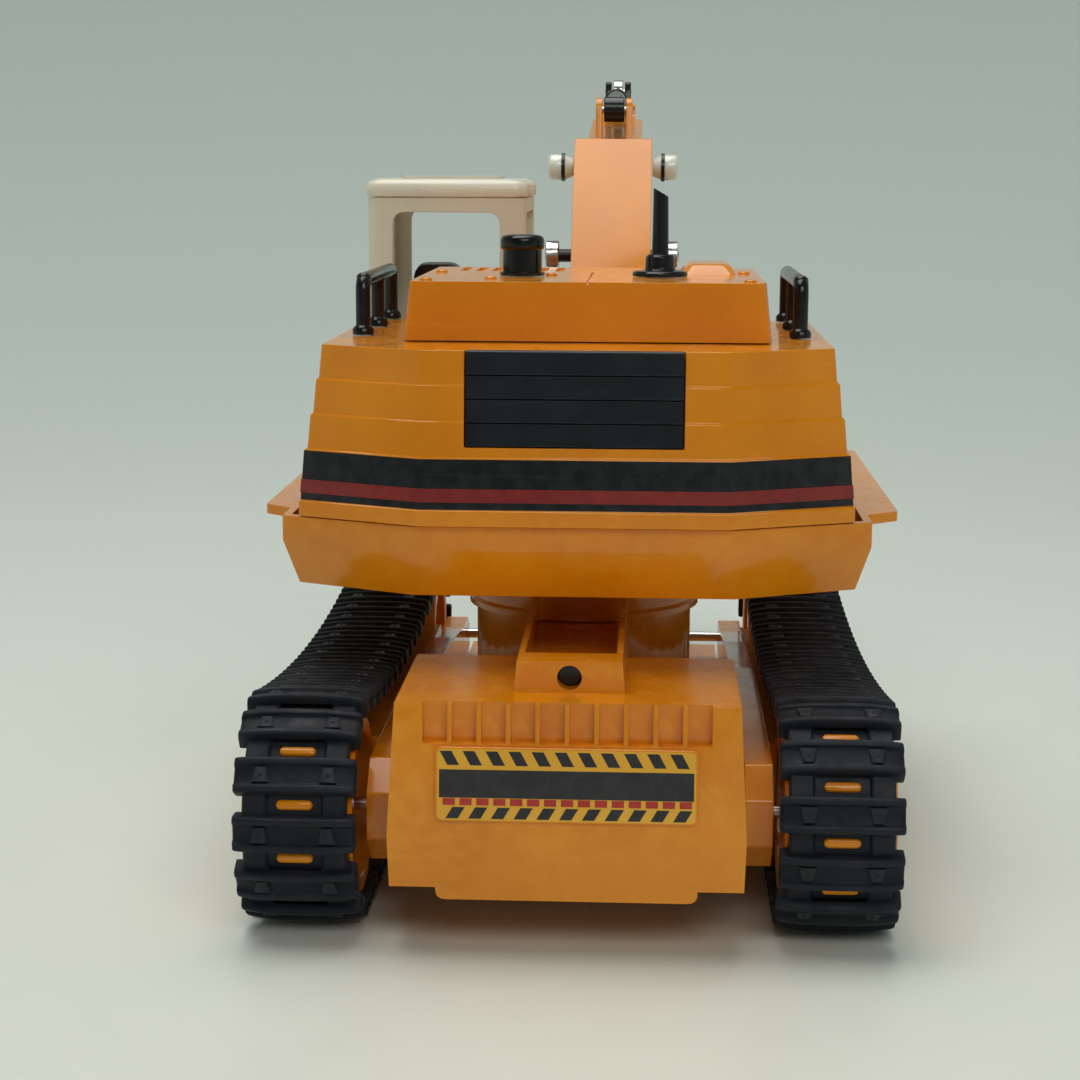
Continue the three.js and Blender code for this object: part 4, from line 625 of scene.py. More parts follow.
for i, y in enumerate(ROLLER_YS):
    drum = [(50.0, 0), (50.0, 1.25), (50.0, 10.5), (50.5, 11), (58.2, 11), (58.6, 10.4), (59.0, 9.6),
            (63.0, 9.6),
            (63.4, 10.4), (63.8, 11), (71.5, 11), (72.0, 10.5), (72.0, 5.2), (71.2, 4.8), (71.2, 2.4),
            (71.9, 2.0),
            (71.9, 0)]
    part(f"roller_{i + 1}_drums", f"roller_{i + 1}",
         moved(merged(lathe(drum), lathe([(-a, r) for a, r in drum]),
                      lathe([(-51, 0), (-51, 1.25), (51, 1.25), (51, 0)])),
               0, y, ROLLER_Z), YELLOW, f"roller_set_{i + 1}", sharp=40)

# ---------------------------------------------------------------- chassis
C_TOP, C_CREASE, C_BOTTOM, C_HALF, C_WALL = 57.6, 28.0, 15.7, 39.7, 2.2
C_REAR = REAR_AXLE_Y + 28.4
C_FRONT = FRONT_AXLE_Y - 21.6
REAR_LEAN, END_TUCK, SIDE_LEAN, SIDE_TUCK = 3.4, 2.7, 1.5, 0.2
BOX_FRONT = REAR_AXLE_Y - 24
PAN_TOP = C_BOTTOM + 4.6
WAIST_TOP = C_BOTTOM + 24.3
BOSS_HALF, BOSS_FRONT, BOSS_REAR, BOSS_TOP = 12.6, 31.6, 108.3, C_TOP + 7.1
HOLE_Z, HOLE_RADIUS = C_TOP + 3.35, 2.8


def chassis_level(z, inset=0.0):
    lean = max(0.0, (z - C_CREASE) / (C_TOP - C_CREASE))
    tuck = max(0.0, (C_CREASE - z) / (C_CREASE - C_BOTTOM))
    hw = C_HALF - SIDE_LEAN * lean - SIDE_TUCK * tuck - inset
    rear = C_REAR - REAR_LEAN * lean - END_TUCK * tuck - inset
    front = BOX_FRONT + inset
    return [(-hw, front, z), (hw, front, z), (hw, rear, z), (-hw, rear, z)]


def housings(inset):
    """The chassis: a tall box over the rear axle, a low pan, a narrow waist, the turret's neck and a spine."""
    bottom = C_BOTTOM - (2 if inset else 0)
    joint = BOX_FRONT + inset + 1
    front = C_FRONT + END_TUCK + inset
    pan, waist, spine = C_HALF - SIDE_TUCK - inset, 27.5 - inset, BOSS_HALF - inset
    neck = 24.8 if inset else 29
    low, roof = WAIST_TOP - 1 - inset, C_TOP - inset
    return [loft([chassis_level(bottom, inset), chassis_level(C_CREASE, inset),
                  chassis_level(roof, inset)]),
            box(-pan, pan, front, joint, bottom, PAN_TOP - inset),
            box(-waist, waist, front + 2, joint, bottom, WAIST_TOP - inset),
            lathe([(low, 0), (low, neck), (roof, neck), (roof, 0)], "z", segments=72),
            box(-spine, spine, neck - 5, joint, low, roof)]


cells = []
CELL_COUNT, CELL_PITCH, CELL_FIN, CELL_FLOOR = 10, 6.48, 1.0, C_TOP - 8.9
for i in range(CELL_COUNT):
    x0 = (i - CELL_COUNT / 2) * CELL_PITCH + CELL_FIN / 2
    x1 = x0 + CELL_PITCH - CELL_FIN
    outline = rounded([(x0, C_TOP + 3), (x0, CELL_FLOOR), (x1, CELL_FLOOR), (x1, C_TOP + 3)],
                      [0, 0.6, 0.6, 0])
    cells.append(prism(outline, "y", C_REAR - 5.6, C_REAR + 2))
side_panels = []
for s in (-1, 1):
    x0, x1 = span(s, C_HALF - 1, C_HALF + 3)
    for y0, y1 in ((75, 84), (106, 117)):
        side_panels.append(panel((y0, y1, 41.5, 53), 2, "x", x0, x1))
channel = box(-10.5, 10.5, 31.3, 99, C_TOP, C_TOP + 9)
hole = lathe([(0, 0), (0, HOLE_RADIUS), (11, HOLE_RADIUS), (11, 0)], "y", (0, 100, HOLE_Z), 32)
boss = loft([[(x, y, C_TOP - 1) for x, y in rectangle(-BOSS_HALF, BOSS_HALF, BOSS_FRONT, BOSS_REAR)],
             [(x, y, BOSS_TOP) for x, y in rectangle(-BOSS_HALF + 0.7, BOSS_HALF - 0.7, BOSS_FRONT,
                                                     BOSS_REAR - 0.6)]])
axle_ports = merged(*[lathe([(0, 0), (0, 2.6), (90, 2.6), (90, 0)], "x", (-45, y, AXLE_Z), 32)
                      for y in (REAR_AXLE_Y, FRONT_AXLE_Y)])
roller_ports = merged(*[panel((y - 1.8, y + 1.8, 12, ROLLER_Z + 1.8), 1.7, "x", -45,
                              45) for y in ROLLER_YS])
backing = box(-34.4, 34.4, C_REAR - 9, C_REAR - 4.6, C_TOP - 12, C_TOP - 1)
# Painted shade: a black plug set deep in the boss hole stands in for the shade inside the hole.
part("boss_hole_shade_plug", "undercarriage",
     lathe([(100.2, 0), (100.2, 2.75), (104.2, 2.75), (104.6, 2.4), (104.6, 0)], "y", (0, 0, HOLE_Z), 32),
     BLACK)
tall, *low_housings = housings(0)
part("chassis_body", "undercarriage", tall, YELLOW, "chassis_shell", bevel=0.4,
     work=[("add", shape) for shape in low_housings] + [("cut", shape) for shape in housings(C_WALL)]
     + [("add", backing), ("add", boss), ("cut", channel), ("cut", merged(*cells)),
        ("cut", merged(*side_panels)),
        ("cut", hole), ("cut", axle_ports), ("cut", roller_ports),
        ("cut", lathe([(50, 0), (50, 9.6), (60, 9.6), (60, 0)], "z", segments=48))])

# Belly tub with the dropped centre panel
tub = prism(rounded([(-29.2, 17.6), (-29.2, 12.9), (29.2, 12.9), (29.2, 17.6)], [0, 2.4, 2.4, 0]), "y",
            C_FRONT + 8, C_REAR - 2.75)
part("belly_tub", "undercarriage", box(-36.5, 36.5, C_FRONT + 6.2, C_REAR - 6.2, 15.7, 17.7), YELLOW,
     "belly_plate", bevel=0.25,
     work=[("add", tub), ("cut", box(-27.2, 27.2, C_FRONT + 10, C_REAR - 6, 14.9, 19)),
           ("cut", box(-25.5, 25.5, -45.8, -4.6, 10, 19)), ("cut", box(15.7, 20.3, 62.7, 73.3, 10, 16)),
           ("cut", roller_ports)] + [("cut", lathe([(8, 0), (8, 1.5), (20, 1.5), (20, 0)], "z", (0, y, 0),
                                                   24))
                                     for y in (C_FRONT + 12, C_REAR - 18)])
ribs = merged(*[box(-18, 18, -43 + 4.4 * k, -41.6 + 4.4 * k, 12.6, 13.4) for k in range(9)])
part("battery_hatch", "undercarriage", merged(box(-25.2, 25.2, -45.5, -4.9, 12.9, 14.9), ribs), YELLOW,
     "battery_door", bevel=0.25)

# Label plate with its printed film: slanted blocks, a dark band and red dashes
LABEL_Z = 40.0
TILT_REAR = math.atan(REAR_LEAN / (C_TOP - C_CREASE))
LABEL_Y = C_REAR - REAR_LEAN * (LABEL_Z - C_CREASE) / (C_TOP - C_CREASE)


def on_rear(shape):
    """Carries a shape drawn upright (y outwards) onto the leaning rear face."""
    return moved(shape, 0, LABEL_Y, LABEL_Z, Matrix.Rotation(TILT_REAR, 3, "X"))


plate = panel((-29, 29, -8.3, 8.3), 1.4, "y", 0, 1.0)
part("label_base", "undercarriage", on_rear(plate), YELLOW, "label_plate", bevel=0.3, slot="label_plastic")
film = panel((-28.4, 28.4, -7.9, 7.9), 1.2, "y", 1.0, 1.09)
part("label_film", "undercarriage", on_rear(film), STICKER)
blocks = []
for k in range(11):
    x = -27.0 + k * 5.06
    blocks.append(prism([(x + 1.7, 7.4), (x + 4.3, 7.4), (x + 2.6, 4.3), (x, 4.3)], "y", 1.08, 1.15))
for k in range(11):
    x = -26.2 + k * 5.0
    blocks.append(prism([(x - 1.5, -5.0), (x, -7.5), (x + 2.7, -7.5), (x + 1.2, -5.0)], "y", 1.08, 1.15))
blocks.append(prism(rectangle(-28.0, 28.0, -2.9, 3.3), "y", 1.08, 1.15))
part("label_ink", "undercarriage", on_rear(merged(*blocks)), INK)
dashes = [prism(rectangle(-27.6 + k * 3.72, -24.9 + k * 3.72, -4.55, -3.05), "y", 1.08,
                1.16) for k in range(15)]
part("label_dashes", "undercarriage", on_rear(merged(*dashes)), RED)

# Side frames between the chassis and the belts
for side, sign in (("left", 1), ("right", -1)):
    rear, front = REAR_AXLE_Y + 9.5, FRONT_AXLE_Y - 9.5
    rail = prism(rounded([(front, 21.4), (front + 7, 14.4), (rear - 7, 14.4), (rear, 21.4), (rear, 32),
                          (rear - 7, 39),
                          (ROLLER_YS[1], 39), (ROLLER_YS[2], 35.8),
                          (FRONT_AXLE_Y + 14, 31.8), (front + 7, 31.8), (front, 28.3)], 1.5, 3), "x", 40.0,
                          46.6)
    beam = panel((FRONT_AXLE_Y + 28.1, REAR_AXLE_Y - 28.1, 29.8, 35.8), 1.2, "x", 45.6, 70.5, 3)
    holes = merged(*[lathe([(38, 0), (38, 1.85), (48, 1.85), (48, 0)], "x", (0, y, AXLE_Z), 32)
                     for y in (REAR_AXLE_Y, FRONT_AXLE_Y)])
    slots = merged(*[prism(rectangle(y - 1.6, y + 1.6, 12, ROLLER_Z + 1.6), "x", 38,
                           48) for y in ROLLER_YS])
    pockets = merged(*[panel((y - 9, y + 9, 31.3, 34.3), 1, "x", 69.9, 72)
                       for y in (-46, -23, 0, 23, 46)])
    solid = rail
    work = [("add", beam), ("cut", holes), ("cut", slots), ("cut", pockets)]
    if sign < 0:
        solid = mirrored(rail)
        work = [(kind, mirrored(tool)) for kind, tool in work]
    part(f"track_frame_{side}", "undercarriage", solid, YELLOW, f"side_frame_{side}", bevel=0.3, work=work)

# ---------------------------------------------------------------- slewing joint
part("turret_ring", "undercarriage",
     lathe([(57.9, 12), (57.9, 31), (59.4, 31), (60.2, 30.2), (64.6, 30.2), (65.4, 31), (66, 30.6),
            (66, 12)], "z",
           segments=96, closed=True), YELLOW, "turret_base")
part("turntable_ring", "house",
     lathe([(55.1, 3), (55.1, 9), (66.3, 9), (66.3, 28.6), (66.8, 29), (73.7, 29), (74.3, 28.4), (74.3, 3)],
           "z",
           segments=96, closed=True), YELLOW, "turntable")

# ---------------------------------------------------------------- deck tray
D_BOTTOM, D_CREASE, D_TOP = 74.6, 85.8, 91.8
BOOM_X = -5.0


def plan(half, facet, rear, setback, front, z):
    return [(-half, front, z), (half, front, z), (half, rear - setback, z), (facet, rear, z),
            (-facet, rear, z),
            (-half, rear - setback, z)]


def deck_level(z, inset=0.0):
    tuck = max(0.0, (D_CREASE - z) / (D_CREASE - D_BOTTOM))
    return plan(70.0 - 3.1 * tuck - inset, 37.2 + 0.5 * tuck - inset * 0.4, 88.8 - 5.4 * tuck - inset, 14.5,
                -80 + inset, z)


def cheek(x0, x1):
    return prism(rounded([(-83, 75.6), (-36, 75.6), (-51, 107), (-55, 111), (-62, 111), (-65, 106),
                          (-77, 90),
                          (-83, 89)], [0, 2, 3, 3, 3, 3, 2, 2], 4), "x", BOOM_X + x0, BOOM_X + x1)


wing = prism(rounded([(-79.7, -80), (79.7, -80), (79.7, 41), (72.5, 47), (-72.5, 47), (-79.7, 41)], 2), "z",
             86.9, 89.4)
tray_hollow = loft([deck_level(77.0, 2.4), deck_level(D_CREASE, 2.2), deck_level(D_TOP + 1, 1.9)])
part("deck_body", "house", loft([deck_level(D_BOTTOM), deck_level(D_CREASE), deck_level(D_TOP)]), YELLOW,
     "deck_tray", bevel=0.45,
     work=[("add", wing), ("cut", tray_hollow), ("cut", box(-35, 16.9, -81, -76.6, 77, 93)),
           ("add", cheek(-14.9, -12.3)), ("add", cheek(12.3, 14.9)),
           ("cut", lathe([(-20, 0), (-20, 2.1), (20, 2.1), (20, 0)], "x", (BOOM_X, -58, 104), 32))])
for k, s in enumerate((-1, 1)):
    x0, x1 = span(s, 13.4, 21.0, BOOM_X)
    part(f"cylinder_foot_pin_{k + 1}", "house", lathe([(x0, 0), (x0, 0.8), (x0 + 0.2, 1), (x1 - 0.2, 1),
                                                       (x1, 0.8),
                                                       (x1, 0)], "x", (0, -79, 86), 20), STEEL)

# ---------------------------------------------------------------- house walls
H_TOP, BAND_TOP, BAND_BOTTOM = 132.6, 107.8, 95.6


def wall_level(z, step, grow=0.0, front=-20.0):
    drop = (H_TOP - z) / (H_TOP - BAND_TOP)
    out = 2.2 * min(drop, 1.4) + step * 0.6 + grow
    return plan(60.2 + out, 35.6, 87.4 + 0.6 * out, 13.9, front, z)


def wall_inner(z, step):
    drop = (H_TOP - z) / (H_TOP - BAND_TOP)
    out = 2.2 * min(drop, 1.4) + step * 0.6
    return plan(58.2 + out, 34.8, 85.4 + 0.6 * out, 13.6, -18.0, z)


course = (H_TOP - BAND_TOP) / 3
levels = [wall_level(92.1, 4), wall_level(BAND_BOTTOM, 4), wall_level(BAND_BOTTOM + 0.35, 3),
          wall_level(BAND_TOP, 3)]
for i in (2, 1, 0):
    low = H_TOP - (i + 1) * course
    levels += [wall_level(low + 0.45, i), wall_level(low + course, i)]
notch = box(-25.3, 25.3, 84.2 + 0.9, 100, 110.4, 140)
part("house_walls", "house", loft(levels), YELLOW, "house_shell", bevel=0.28,
     work=[("cut", loft([wall_inner(91, 1), wall_inner(BAND_TOP, 1), wall_inner(H_TOP - 2, 0)])),
           ("add", box(-62.2, 62.2, -20, -18, 77.3, 93)), ("cut", notch)])
band = loft([wall_level(BAND_BOTTOM + 0.45, 3, 0.16, -19.6), wall_level(BAND_TOP - 0.1, 3, 0.16, -19.6)])
band_core = loft([wall_level(BAND_BOTTOM - 1, 3, -0.4, -25), wall_level(BAND_TOP + 1, 3, -0.4, -25)])
part("house_band", "house", band, BLACK, bevel=0.06, steps=1, work=[("cut", band_core)])
stripe = loft([wall_level(97.75, 3, 0.24, -19.5), wall_level(100.9, 3, 0.24, -19.5)])
stripe_core = loft([wall_level(97, 3, 0.0, -25), wall_level(102, 3, 0.0, -25)])
part("house_stripe", "house", stripe, STRIPE, work=[("cut", stripe_core)])

# Rear grille: a dark panel of four lapped slats
SLAT_COUNT, GRILLE_BOTTOM = 4, 110.7
slat = (H_TOP - GRILLE_BOTTOM) / SLAT_COUNT
outline = [(85.4, H_TOP), (85.4, GRILLE_BOTTOM)]
for i in range(SLAT_COUNT):
    low = GRILLE_BOTTOM + i * slat
    out = 87.4 + 0.6 * 2.2 * (H_TOP - low) / (H_TOP - BAND_TOP) + 0.9
    outline += [(out, low), (out - 0.15, low + 0.4), (out - 0.75, low + slat - 0.3),
                (out - 1.3, low + slat)]
part("grille_panel", "house", prism(outline, "x", -25, 25), SLATE, "rear_grille", bevel=0.18)

# ---------------------------------------------------------------- hood


def hood_level(z, inset=0.0):
    draft = 1.5 * (z - 132.9) / (147 - 132.9) + inset
    return [(x, y, z) for x, y in rounded([(-46.2 + draft, -17 + draft), (42.2 - draft, -17 + draft),
                                           (42.2 - draft, 64 - draft), (-46.2 + draft, 64 - draft)], 2.2,
                                           4)]


hump = loft([[(x, y, 146.4) for x, y in rounded(rectangle(-39.5, -24.5, -8, 24), 3)],
             [(x, y, 149.2) for x, y in rounded(rectangle(-37.5, -26.5, -5, 21), 3)],
             [(x, y, 149.7) for x, y in rounded(rectangle(-36.3, -27.7, -3.5, 19.5), 3)]])
seams = merged(box(-48, 46, 12.6, 13.1, 146.4, 148), box(-2.3, -1.8, 13, 66, 146.4, 148))
vents = merged(*[panel((6 + 4.2 * k, 8 + 4.2 * k, -12, 8), 0.9, "z", 146.3, 148) for k in range(7)])
bolts = merged(*[lathe([(146.6, 0), (146.6, 1.5), (147.35, 1.5), (147.7, 1.1), (147.75, 0)], "z", (x, y, 0),
                       20)
                 for x, y in ((-41, 58), (37, 58), (-41, 17), (37, 17), (8, 30), (22, 50))])
part("hood_body", "house", loft([hood_level(132.9), hood_level(145.4), hood_level(147)]), YELLOW,
     "hood_cover",
     bevel=0.5, work=[("cut", loft([hood_level(131, 2), hood_level(145, 2)])), ("cut", seams),
                      ("cut", vents),
                      ("add", hump), ("add", bolts)])
part("knob_cap", "house", lathe([(147.3, 0), (147.3, 5.6), (148.1, 5.6), (148.3, 4.9), (153.6, 4.9),
                                 (153.9, 5.35),
                                 (154.4, 5.5), (156.0, 5.5), (156.8, 5.2), (157.2, 4.5), (157.45, 3.0),
                                 (157.5, 0)],
                                "z", (15, 36, 0), 48), BLACK, "precleaner", sharp=50)
stack_profile = [(147.3, 0), (147.3, 6.9), (148.1, 6.9), (148.6, 6.4), (148.9, 4.0), (149.4, 3.7),
                 (152.0, 3.6),
                 (152.6, 3.1), (152.8, 2.1), (166, 1.9), (172, 1.9), (172, 0)]
lean_cut = moved(box(-9, 9, -9, 9, 0, 12), -19.4, 36, 168.0, Matrix.Rotation(-math.pi / 6, 3, "Y"))
bore = lathe([(158, 0), (158, 1.3), (175, 1.3), (175, 0)], "z", (-19.4, 36, 0), 24)
part("stack_pipe", "house", lathe(stack_profile, "z", (-19.4, 36, 0), 40), BLACK, "exhaust_stack",
     bevel=0.15,
     work=[("cut", lean_cut), ("cut", bore)])

# Handrails
for side, sign in (("left", 1), ("right", -1)):
    x = sign * 54.0
    path = [(x, 45, 133.4), (x, 45, 143.6)]
    path += [(x, 45 - 2.6 * (1 - math.cos(a)), 143.6 + 2.6 * math.sin(a)) for a in (0.4, 0.8, 1.2,
                                                                                    math.pi / 2)]
    path += [(x, y, 146.2) for y in (32, 15, 0)]
    path += [(x, -14 + 2.6 * (1 - math.cos(a)), 143.6 + 2.6 * math.sin(a)) for a in (math.pi / 2, 1.2, 0.8,
                                                                                     0.4)]
    path += [(x, -14, 143.6), (x, -14, 133.4)]
    rails = [pipe(path, 1.85, 18), pipe([(x, 15.5, 133.4), (x, 15.5, 146)], 1.75, 18)]
    rails += [lathe([(132.9, 0), (132.9, 2.7), (134.2, 2.7), (134.8, 2.2), (135.3, 1.7), (135.3, 0)], "z",
                    (x, y, 0), 24)
              for y in (45, 15.5, -14)]
    rails.append(lathe([(146.2, 0), (146.2, 1.9), (147.3, 1.75), (147.9, 1.1), (148.0, 0)], "z",
                       (x, 43.2, 0), 20))
    part(f"rail_{side}", "house", merged(*rails), BLACK, f"handrail_{side}", sharp=45)

# Tank cover on the right
tank = prism(rounded([(-77, 77.3), (-20.3, 77.3), (-20.3, 116), (-72, 116), (-77, 111)], [0, 0, 1.5, 3, 3],
                     4), "x",
             -62.2, -28)
treads = merged(*[panel((-57 + 5.4 * k, -54.6 + 5.4 * k, -66, -28), 1, "z", 115.7, 116.5)
                  for k in range(5)])
cap = lathe([(115.8, 0), (115.8, 3.6), (117.6, 3.6), (118.2, 3.0), (118.3, 0)], "z", (-37, -27.5, 0), 28)
part("tank_body", "house", tank, YELLOW, "tank_cover", bevel=0.5,
     work=[("cut", box(-60.2, -30, -75, -22.3, 70, 110)),
           ("cut", panel((-70, -27, 84, 106), 2.5, "x", -63, -61.7))])
part("tank_treads", "house", merged(treads, cap), BLACK, bevel=0.15)

# ---------------------------------------------------------------- cab
CX0, CX1, CY0, CY1, CZ0, CZ1 = 17.9, 61.8, -76.6, -25.5, 77.3, 165.5
room = box(CX0 + 2.4, CX1 - 2.4, CY0 + 2.4, CY1 - 2.4, 79.7, 170)
side_window = panel((CY0 + 7, CY1 - 7, 118, 161.5), 3.5, "x", CX0 - 2, CX1 + 2)
end_window = panel((CX0 + 7, CX1 - 7, 118, 161.5), 3.5, "y", CY0 - 2, CY1 + 2)
door = merged(*[panel((CY0 + 4, CY1 - 4, z0, z1), 2, "x", CX1 - 0.5, CX1 + 2)
                for z0, z1 in ((82, 97), (99.5, 114.5))])
shell = panel((CX0, CX1, CY0, CY1), 3, "z", CZ0, CZ1, 4)
part("cab_frame", "house", shell, CREAM, "cab_body", bevel=0.35,
     work=[("cut", room), ("cut", side_window), ("cut", end_window), ("cut", door)])
handle = pipe([(CX1 - 0.3, -36, 116.2), (CX1 + 1.2, -36, 116.2), (CX1 + 1.2, -44, 116.2),
               (CX1 - 0.3, -44, 116.2)], 0.7, 10)
part("cab_handle", "house", handle, BLACK)


def roof_level(z, grow, radius=4):
    return [(x, y, z) for x, y in rounded(rectangle(CX0 - grow, CX1 + grow, CY0 - grow, CY1 + grow), radius,
                                          5)]


part("cab_roof_panel", "house", loft([roof_level(165.8, 0.4), roof_level(166.2, 0.6),
                                      roof_level(168.8, 0.6),
                                      roof_level(169.9, -0.2), roof_level(170.5, -1.4),
                                      roof_level(170.7, -2.4)]),
     CREAM, "cab_roof", sharp=60,
     work=[("add", panel((CX0 + 8, CX1 - 8, CY0 + 10, CY1 - 12), 3, "z", 170.2, 171.4))])
seat_x = (CX0 + CX1) / 2 + 2.65
pan = prism(rounded([(-57, 93), (-57, 102), (-41, 102), (-40, 96), (-40, 93)], [2, 3, 2, 1, 1]), "x",
            seat_x - 8.4,
            seat_x + 8.4)
back = prism(rounded([(-8.4, 0), (8.4, 0), (8.2, 30), (6.4, 46.5), (-6.4, 46.5), (-8.2, 30)],
                     [1, 1, 4, 4, 4, 4], 4),
             "y", -3.2, 1.8)
back = moved(back, seat_x, -35, 101, Matrix.Rotation(math.radians(-6), 3, "X"))
base = box(seat_x - 6.5, seat_x + 6.5, -53, -36, 80.0, 93.5)
part("seat_body", "house", merged(pan, back, base), BLACK, "seat", bevel=0.5)
console = [panel((seat_x - 7, seat_x + 7, -70, -62), 1.5, "z", 80, 110)]
for x in (-4.5, 4.5):
    console.append(lathe([(109, 0), (109, 1.6), (110.4, 1.2), (111, 0.8), (117, 0.8), (117.4, 1.4),
                          (119, 1.6),
                          (120, 0.9), (120, 0)], "z", (seat_x + x, -66, 0), 20))
part("console_body", "house", merged(*console), BLACK, "control_console", bevel=0.2)

# ---------------------------------------------------------------- boom, arm and bucket
FOOT, BEND, TIP = (-58.0, 104.0), (-108.0, 172.0), (-188.0, 184.0)
ARM_END, ARM_HORN = (-200.0, 84.0), (-197.0, 200.0)
BC_FOOT, BC_HEAD = (-79.0, 86.0), (-97.0, 147.0)
AC_FOOT, BK_FOOT, BK_HORN = (-117.0, 192.0), (-213.0, 178.0), (-212.0, 86.0)


def beside(a, b, distance, above):
    d = (Vector(b) - Vector(a)).normalized()
    p = Vector(a) + d * distance + Vector((d.y, -d.x)) * above
    return p.x, p.y


def arc(c, radius, a0, a1, steps):
    return [(c[0] + radius * math.cos(math.radians(a0 + (a1 - a0) * i / steps)),
             c[1] + radius * math.sin(math.radians(a0 + (a1 - a0) * i / steps))) for i in range(steps + 1)]


def bores(places, half=30, radius=2.1):
    return merged(*[lathe([(-half, 0), (-half, radius), (half, radius), (half, 0)], "x", (BOOM_X, y, z), 32)
                    for y, z in places])


low_len = (Vector(BEND) - Vector(FOOT)).length
lower = prism([*arc(FOOT, 6.5, -145, 15, 12), beside(FOOT, BEND, low_len * 0.3, 8.4),
               beside(FOOT, BEND, low_len * 0.55, 9.4), beside(FOOT, BEND, low_len * 0.85, 9.5),
               beside(BEND, TIP, 2, 10.6), beside(BEND, TIP, 12, 9.5), beside(BEND, TIP, 9, -9.5),
               beside(FOOT, BEND, low_len, -8.5), beside(FOOT, BEND, low_len * 0.45, -8.5),
               beside(FOOT, BEND, low_len * 0.2, -7.6)], "x", BOOM_X - 12, BOOM_X + 12)
upper = prism([beside(BEND, TIP, 0, -8.5), beside(BEND, TIP, 14, -8.5), *arc(TIP, 6.5, 262, 80, 14),
               beside(BEND, TIP, 8, 8.5)], "x", BOOM_X - 8.5, BOOM_X + 8.5)
fork = box(BOOM_X - 6.4, BOOM_X + 6.4, -198, -176, 160, 206)
lugs = merged(*[prism([beside(BEND, TIP, 4, 6.5), beside(BEND, TIP, 20, 6.5),
                       *arc(AC_FOOT, 3.6, 180, 0, 8)], "x",
                      *span(s, 3.75, 5.7, BOOM_X)) for s in (-1, 1)])
recess = merged(*[prism(rounded([beside(FOOT, BEND, 16, 4.6), beside(FOOT, BEND, 40, 5.2),
                                 beside(FOOT, BEND, 40, -4.6), beside(FOOT, BEND, 16, -4.2)], 2.5), "x",
                        *span(s, 11.4, 14, BOOM_X)) for s in (-1, 1)]
                + [prism(rounded([beside(BEND, TIP, 22, 4.4), beside(BEND, TIP, 58, 3.4),
                                  beside(BEND, TIP, 58, -3.6),
                                  beside(BEND, TIP, 22, -5)], 2.5), "x",
                                  *span(s, 7.9, 12, BOOM_X)) for s in (-1, 1)])
part("boom_body", "boom", lower, YELLOW, "boom", bevel=0.7, steps=3,
     work=[("add", upper), ("add", lugs), ("cut", fork), ("cut", recess),
           ("cut", bores([FOOT, TIP, BC_HEAD]))])


def pin_shape(half, place, r=2.0):
    y, z = place
    profile = [(-half, 0), (-half, r - 0.35), (-half + 0.35, r), (half - 0.35, r), (half, r - 0.35),
               (half, 0)]
    return lathe(profile, "x", (BOOM_X, y, z), 32)


part("boom_foot_pin", "house", pin_shape(14.9, FOOT), STEEL, "boom_pin")
part("cylinder_head_pin", "boom", pin_shape(20.6, BC_HEAD), BLACK, "boom_cylinder_pin", slot="steel")
part("arm_hinge_pin", "boom", pin_shape(8.5, TIP), STEEL, "arm_pin")
for side, s in (("left", 1), ("right", -1)):
    profile = [(12.3, 0), (12.3, 2.6), (13.0, 3.0), (14.5, 3.6), (15.3, 4.0), (19.2, 4.0), (19.8, 3.7),
               (20.0, 3.2),
               (20.3, 0)]
    part(f"lamp_{side}", "boom", lathe([(s * a, r) for a, r in profile], "x", (BOOM_X, -106, 174), 36),
         LENS,
         f"work_lamp_{side}", sharp=50)
    part(f"lamp_{side}_ring", "boom", lathe([(s * 14.9, 4.02), (s * 14.9, 4.35), (s * 16.0, 4.35),
                                             (s * 16.0, 4.02)],
                                            "x", (BOOM_X, -106, 174), 36, closed=True), BLACK)


def along(foot, head, shape, x=0.0):
    """Stands a shape drawn up z from the origin onto the line from foot to head."""
    d = (Vector(head) - Vector(foot)).normalized()
    angle = math.atan2(-d.x, d.y)
    return moved(shape, BOOM_X + x, foot[0], foot[1], Matrix.Rotation(angle, 3, "X"))


def barrel_shape(foot, head, radius, share, eye):
    length = (Vector(head) - Vector(foot)).length * share
    r, q = radius, radius * 0.5 + 0.15
    tube = lathe([(1, 0), (1, r * 0.8), (2.4, r - 0.35), (2.8, r), (3.6, r), (3.7, r - 0.3),
                  (length - 4.2, r - 0.3),
                  (length - 4.0, r), (length - 0.4, r), (length, r - 0.4), (length, q), (length - 6, q),
                  (length - 6, 0)], "z", segments=32)
    ring = lathe([(-eye, 1.25), (-eye, radius + 0.3), (-eye + 0.3, radius + 0.6), (eye - 0.3, radius + 0.6),
                  (eye, radius + 0.3), (eye, 1.25)], "x", segments=36, closed=True)
    return along(foot, head, merged(tube, ring))


def rod_shape(foot, head, radius, start, eye, pin, play):
    length = (Vector(head) - Vector(foot)).length
    r = radius * 0.5
    outer = pin + play + 1.4
    stem = lathe([(start, 0), (start, r), (length - outer + 0.6, r), (length - outer + 0.6, 0)], "z",
                 segments=28)
    ring = moved(lathe([(-eye, pin + play), (-eye, outer - 0.3), (-eye + 0.3, outer), (eye - 0.3, outer),
                        (eye, outer - 0.3), (eye, pin + play)], "x", segments=36, closed=True), 0, 0,
                        length)
    return along(foot, head, merged(stem, ring))


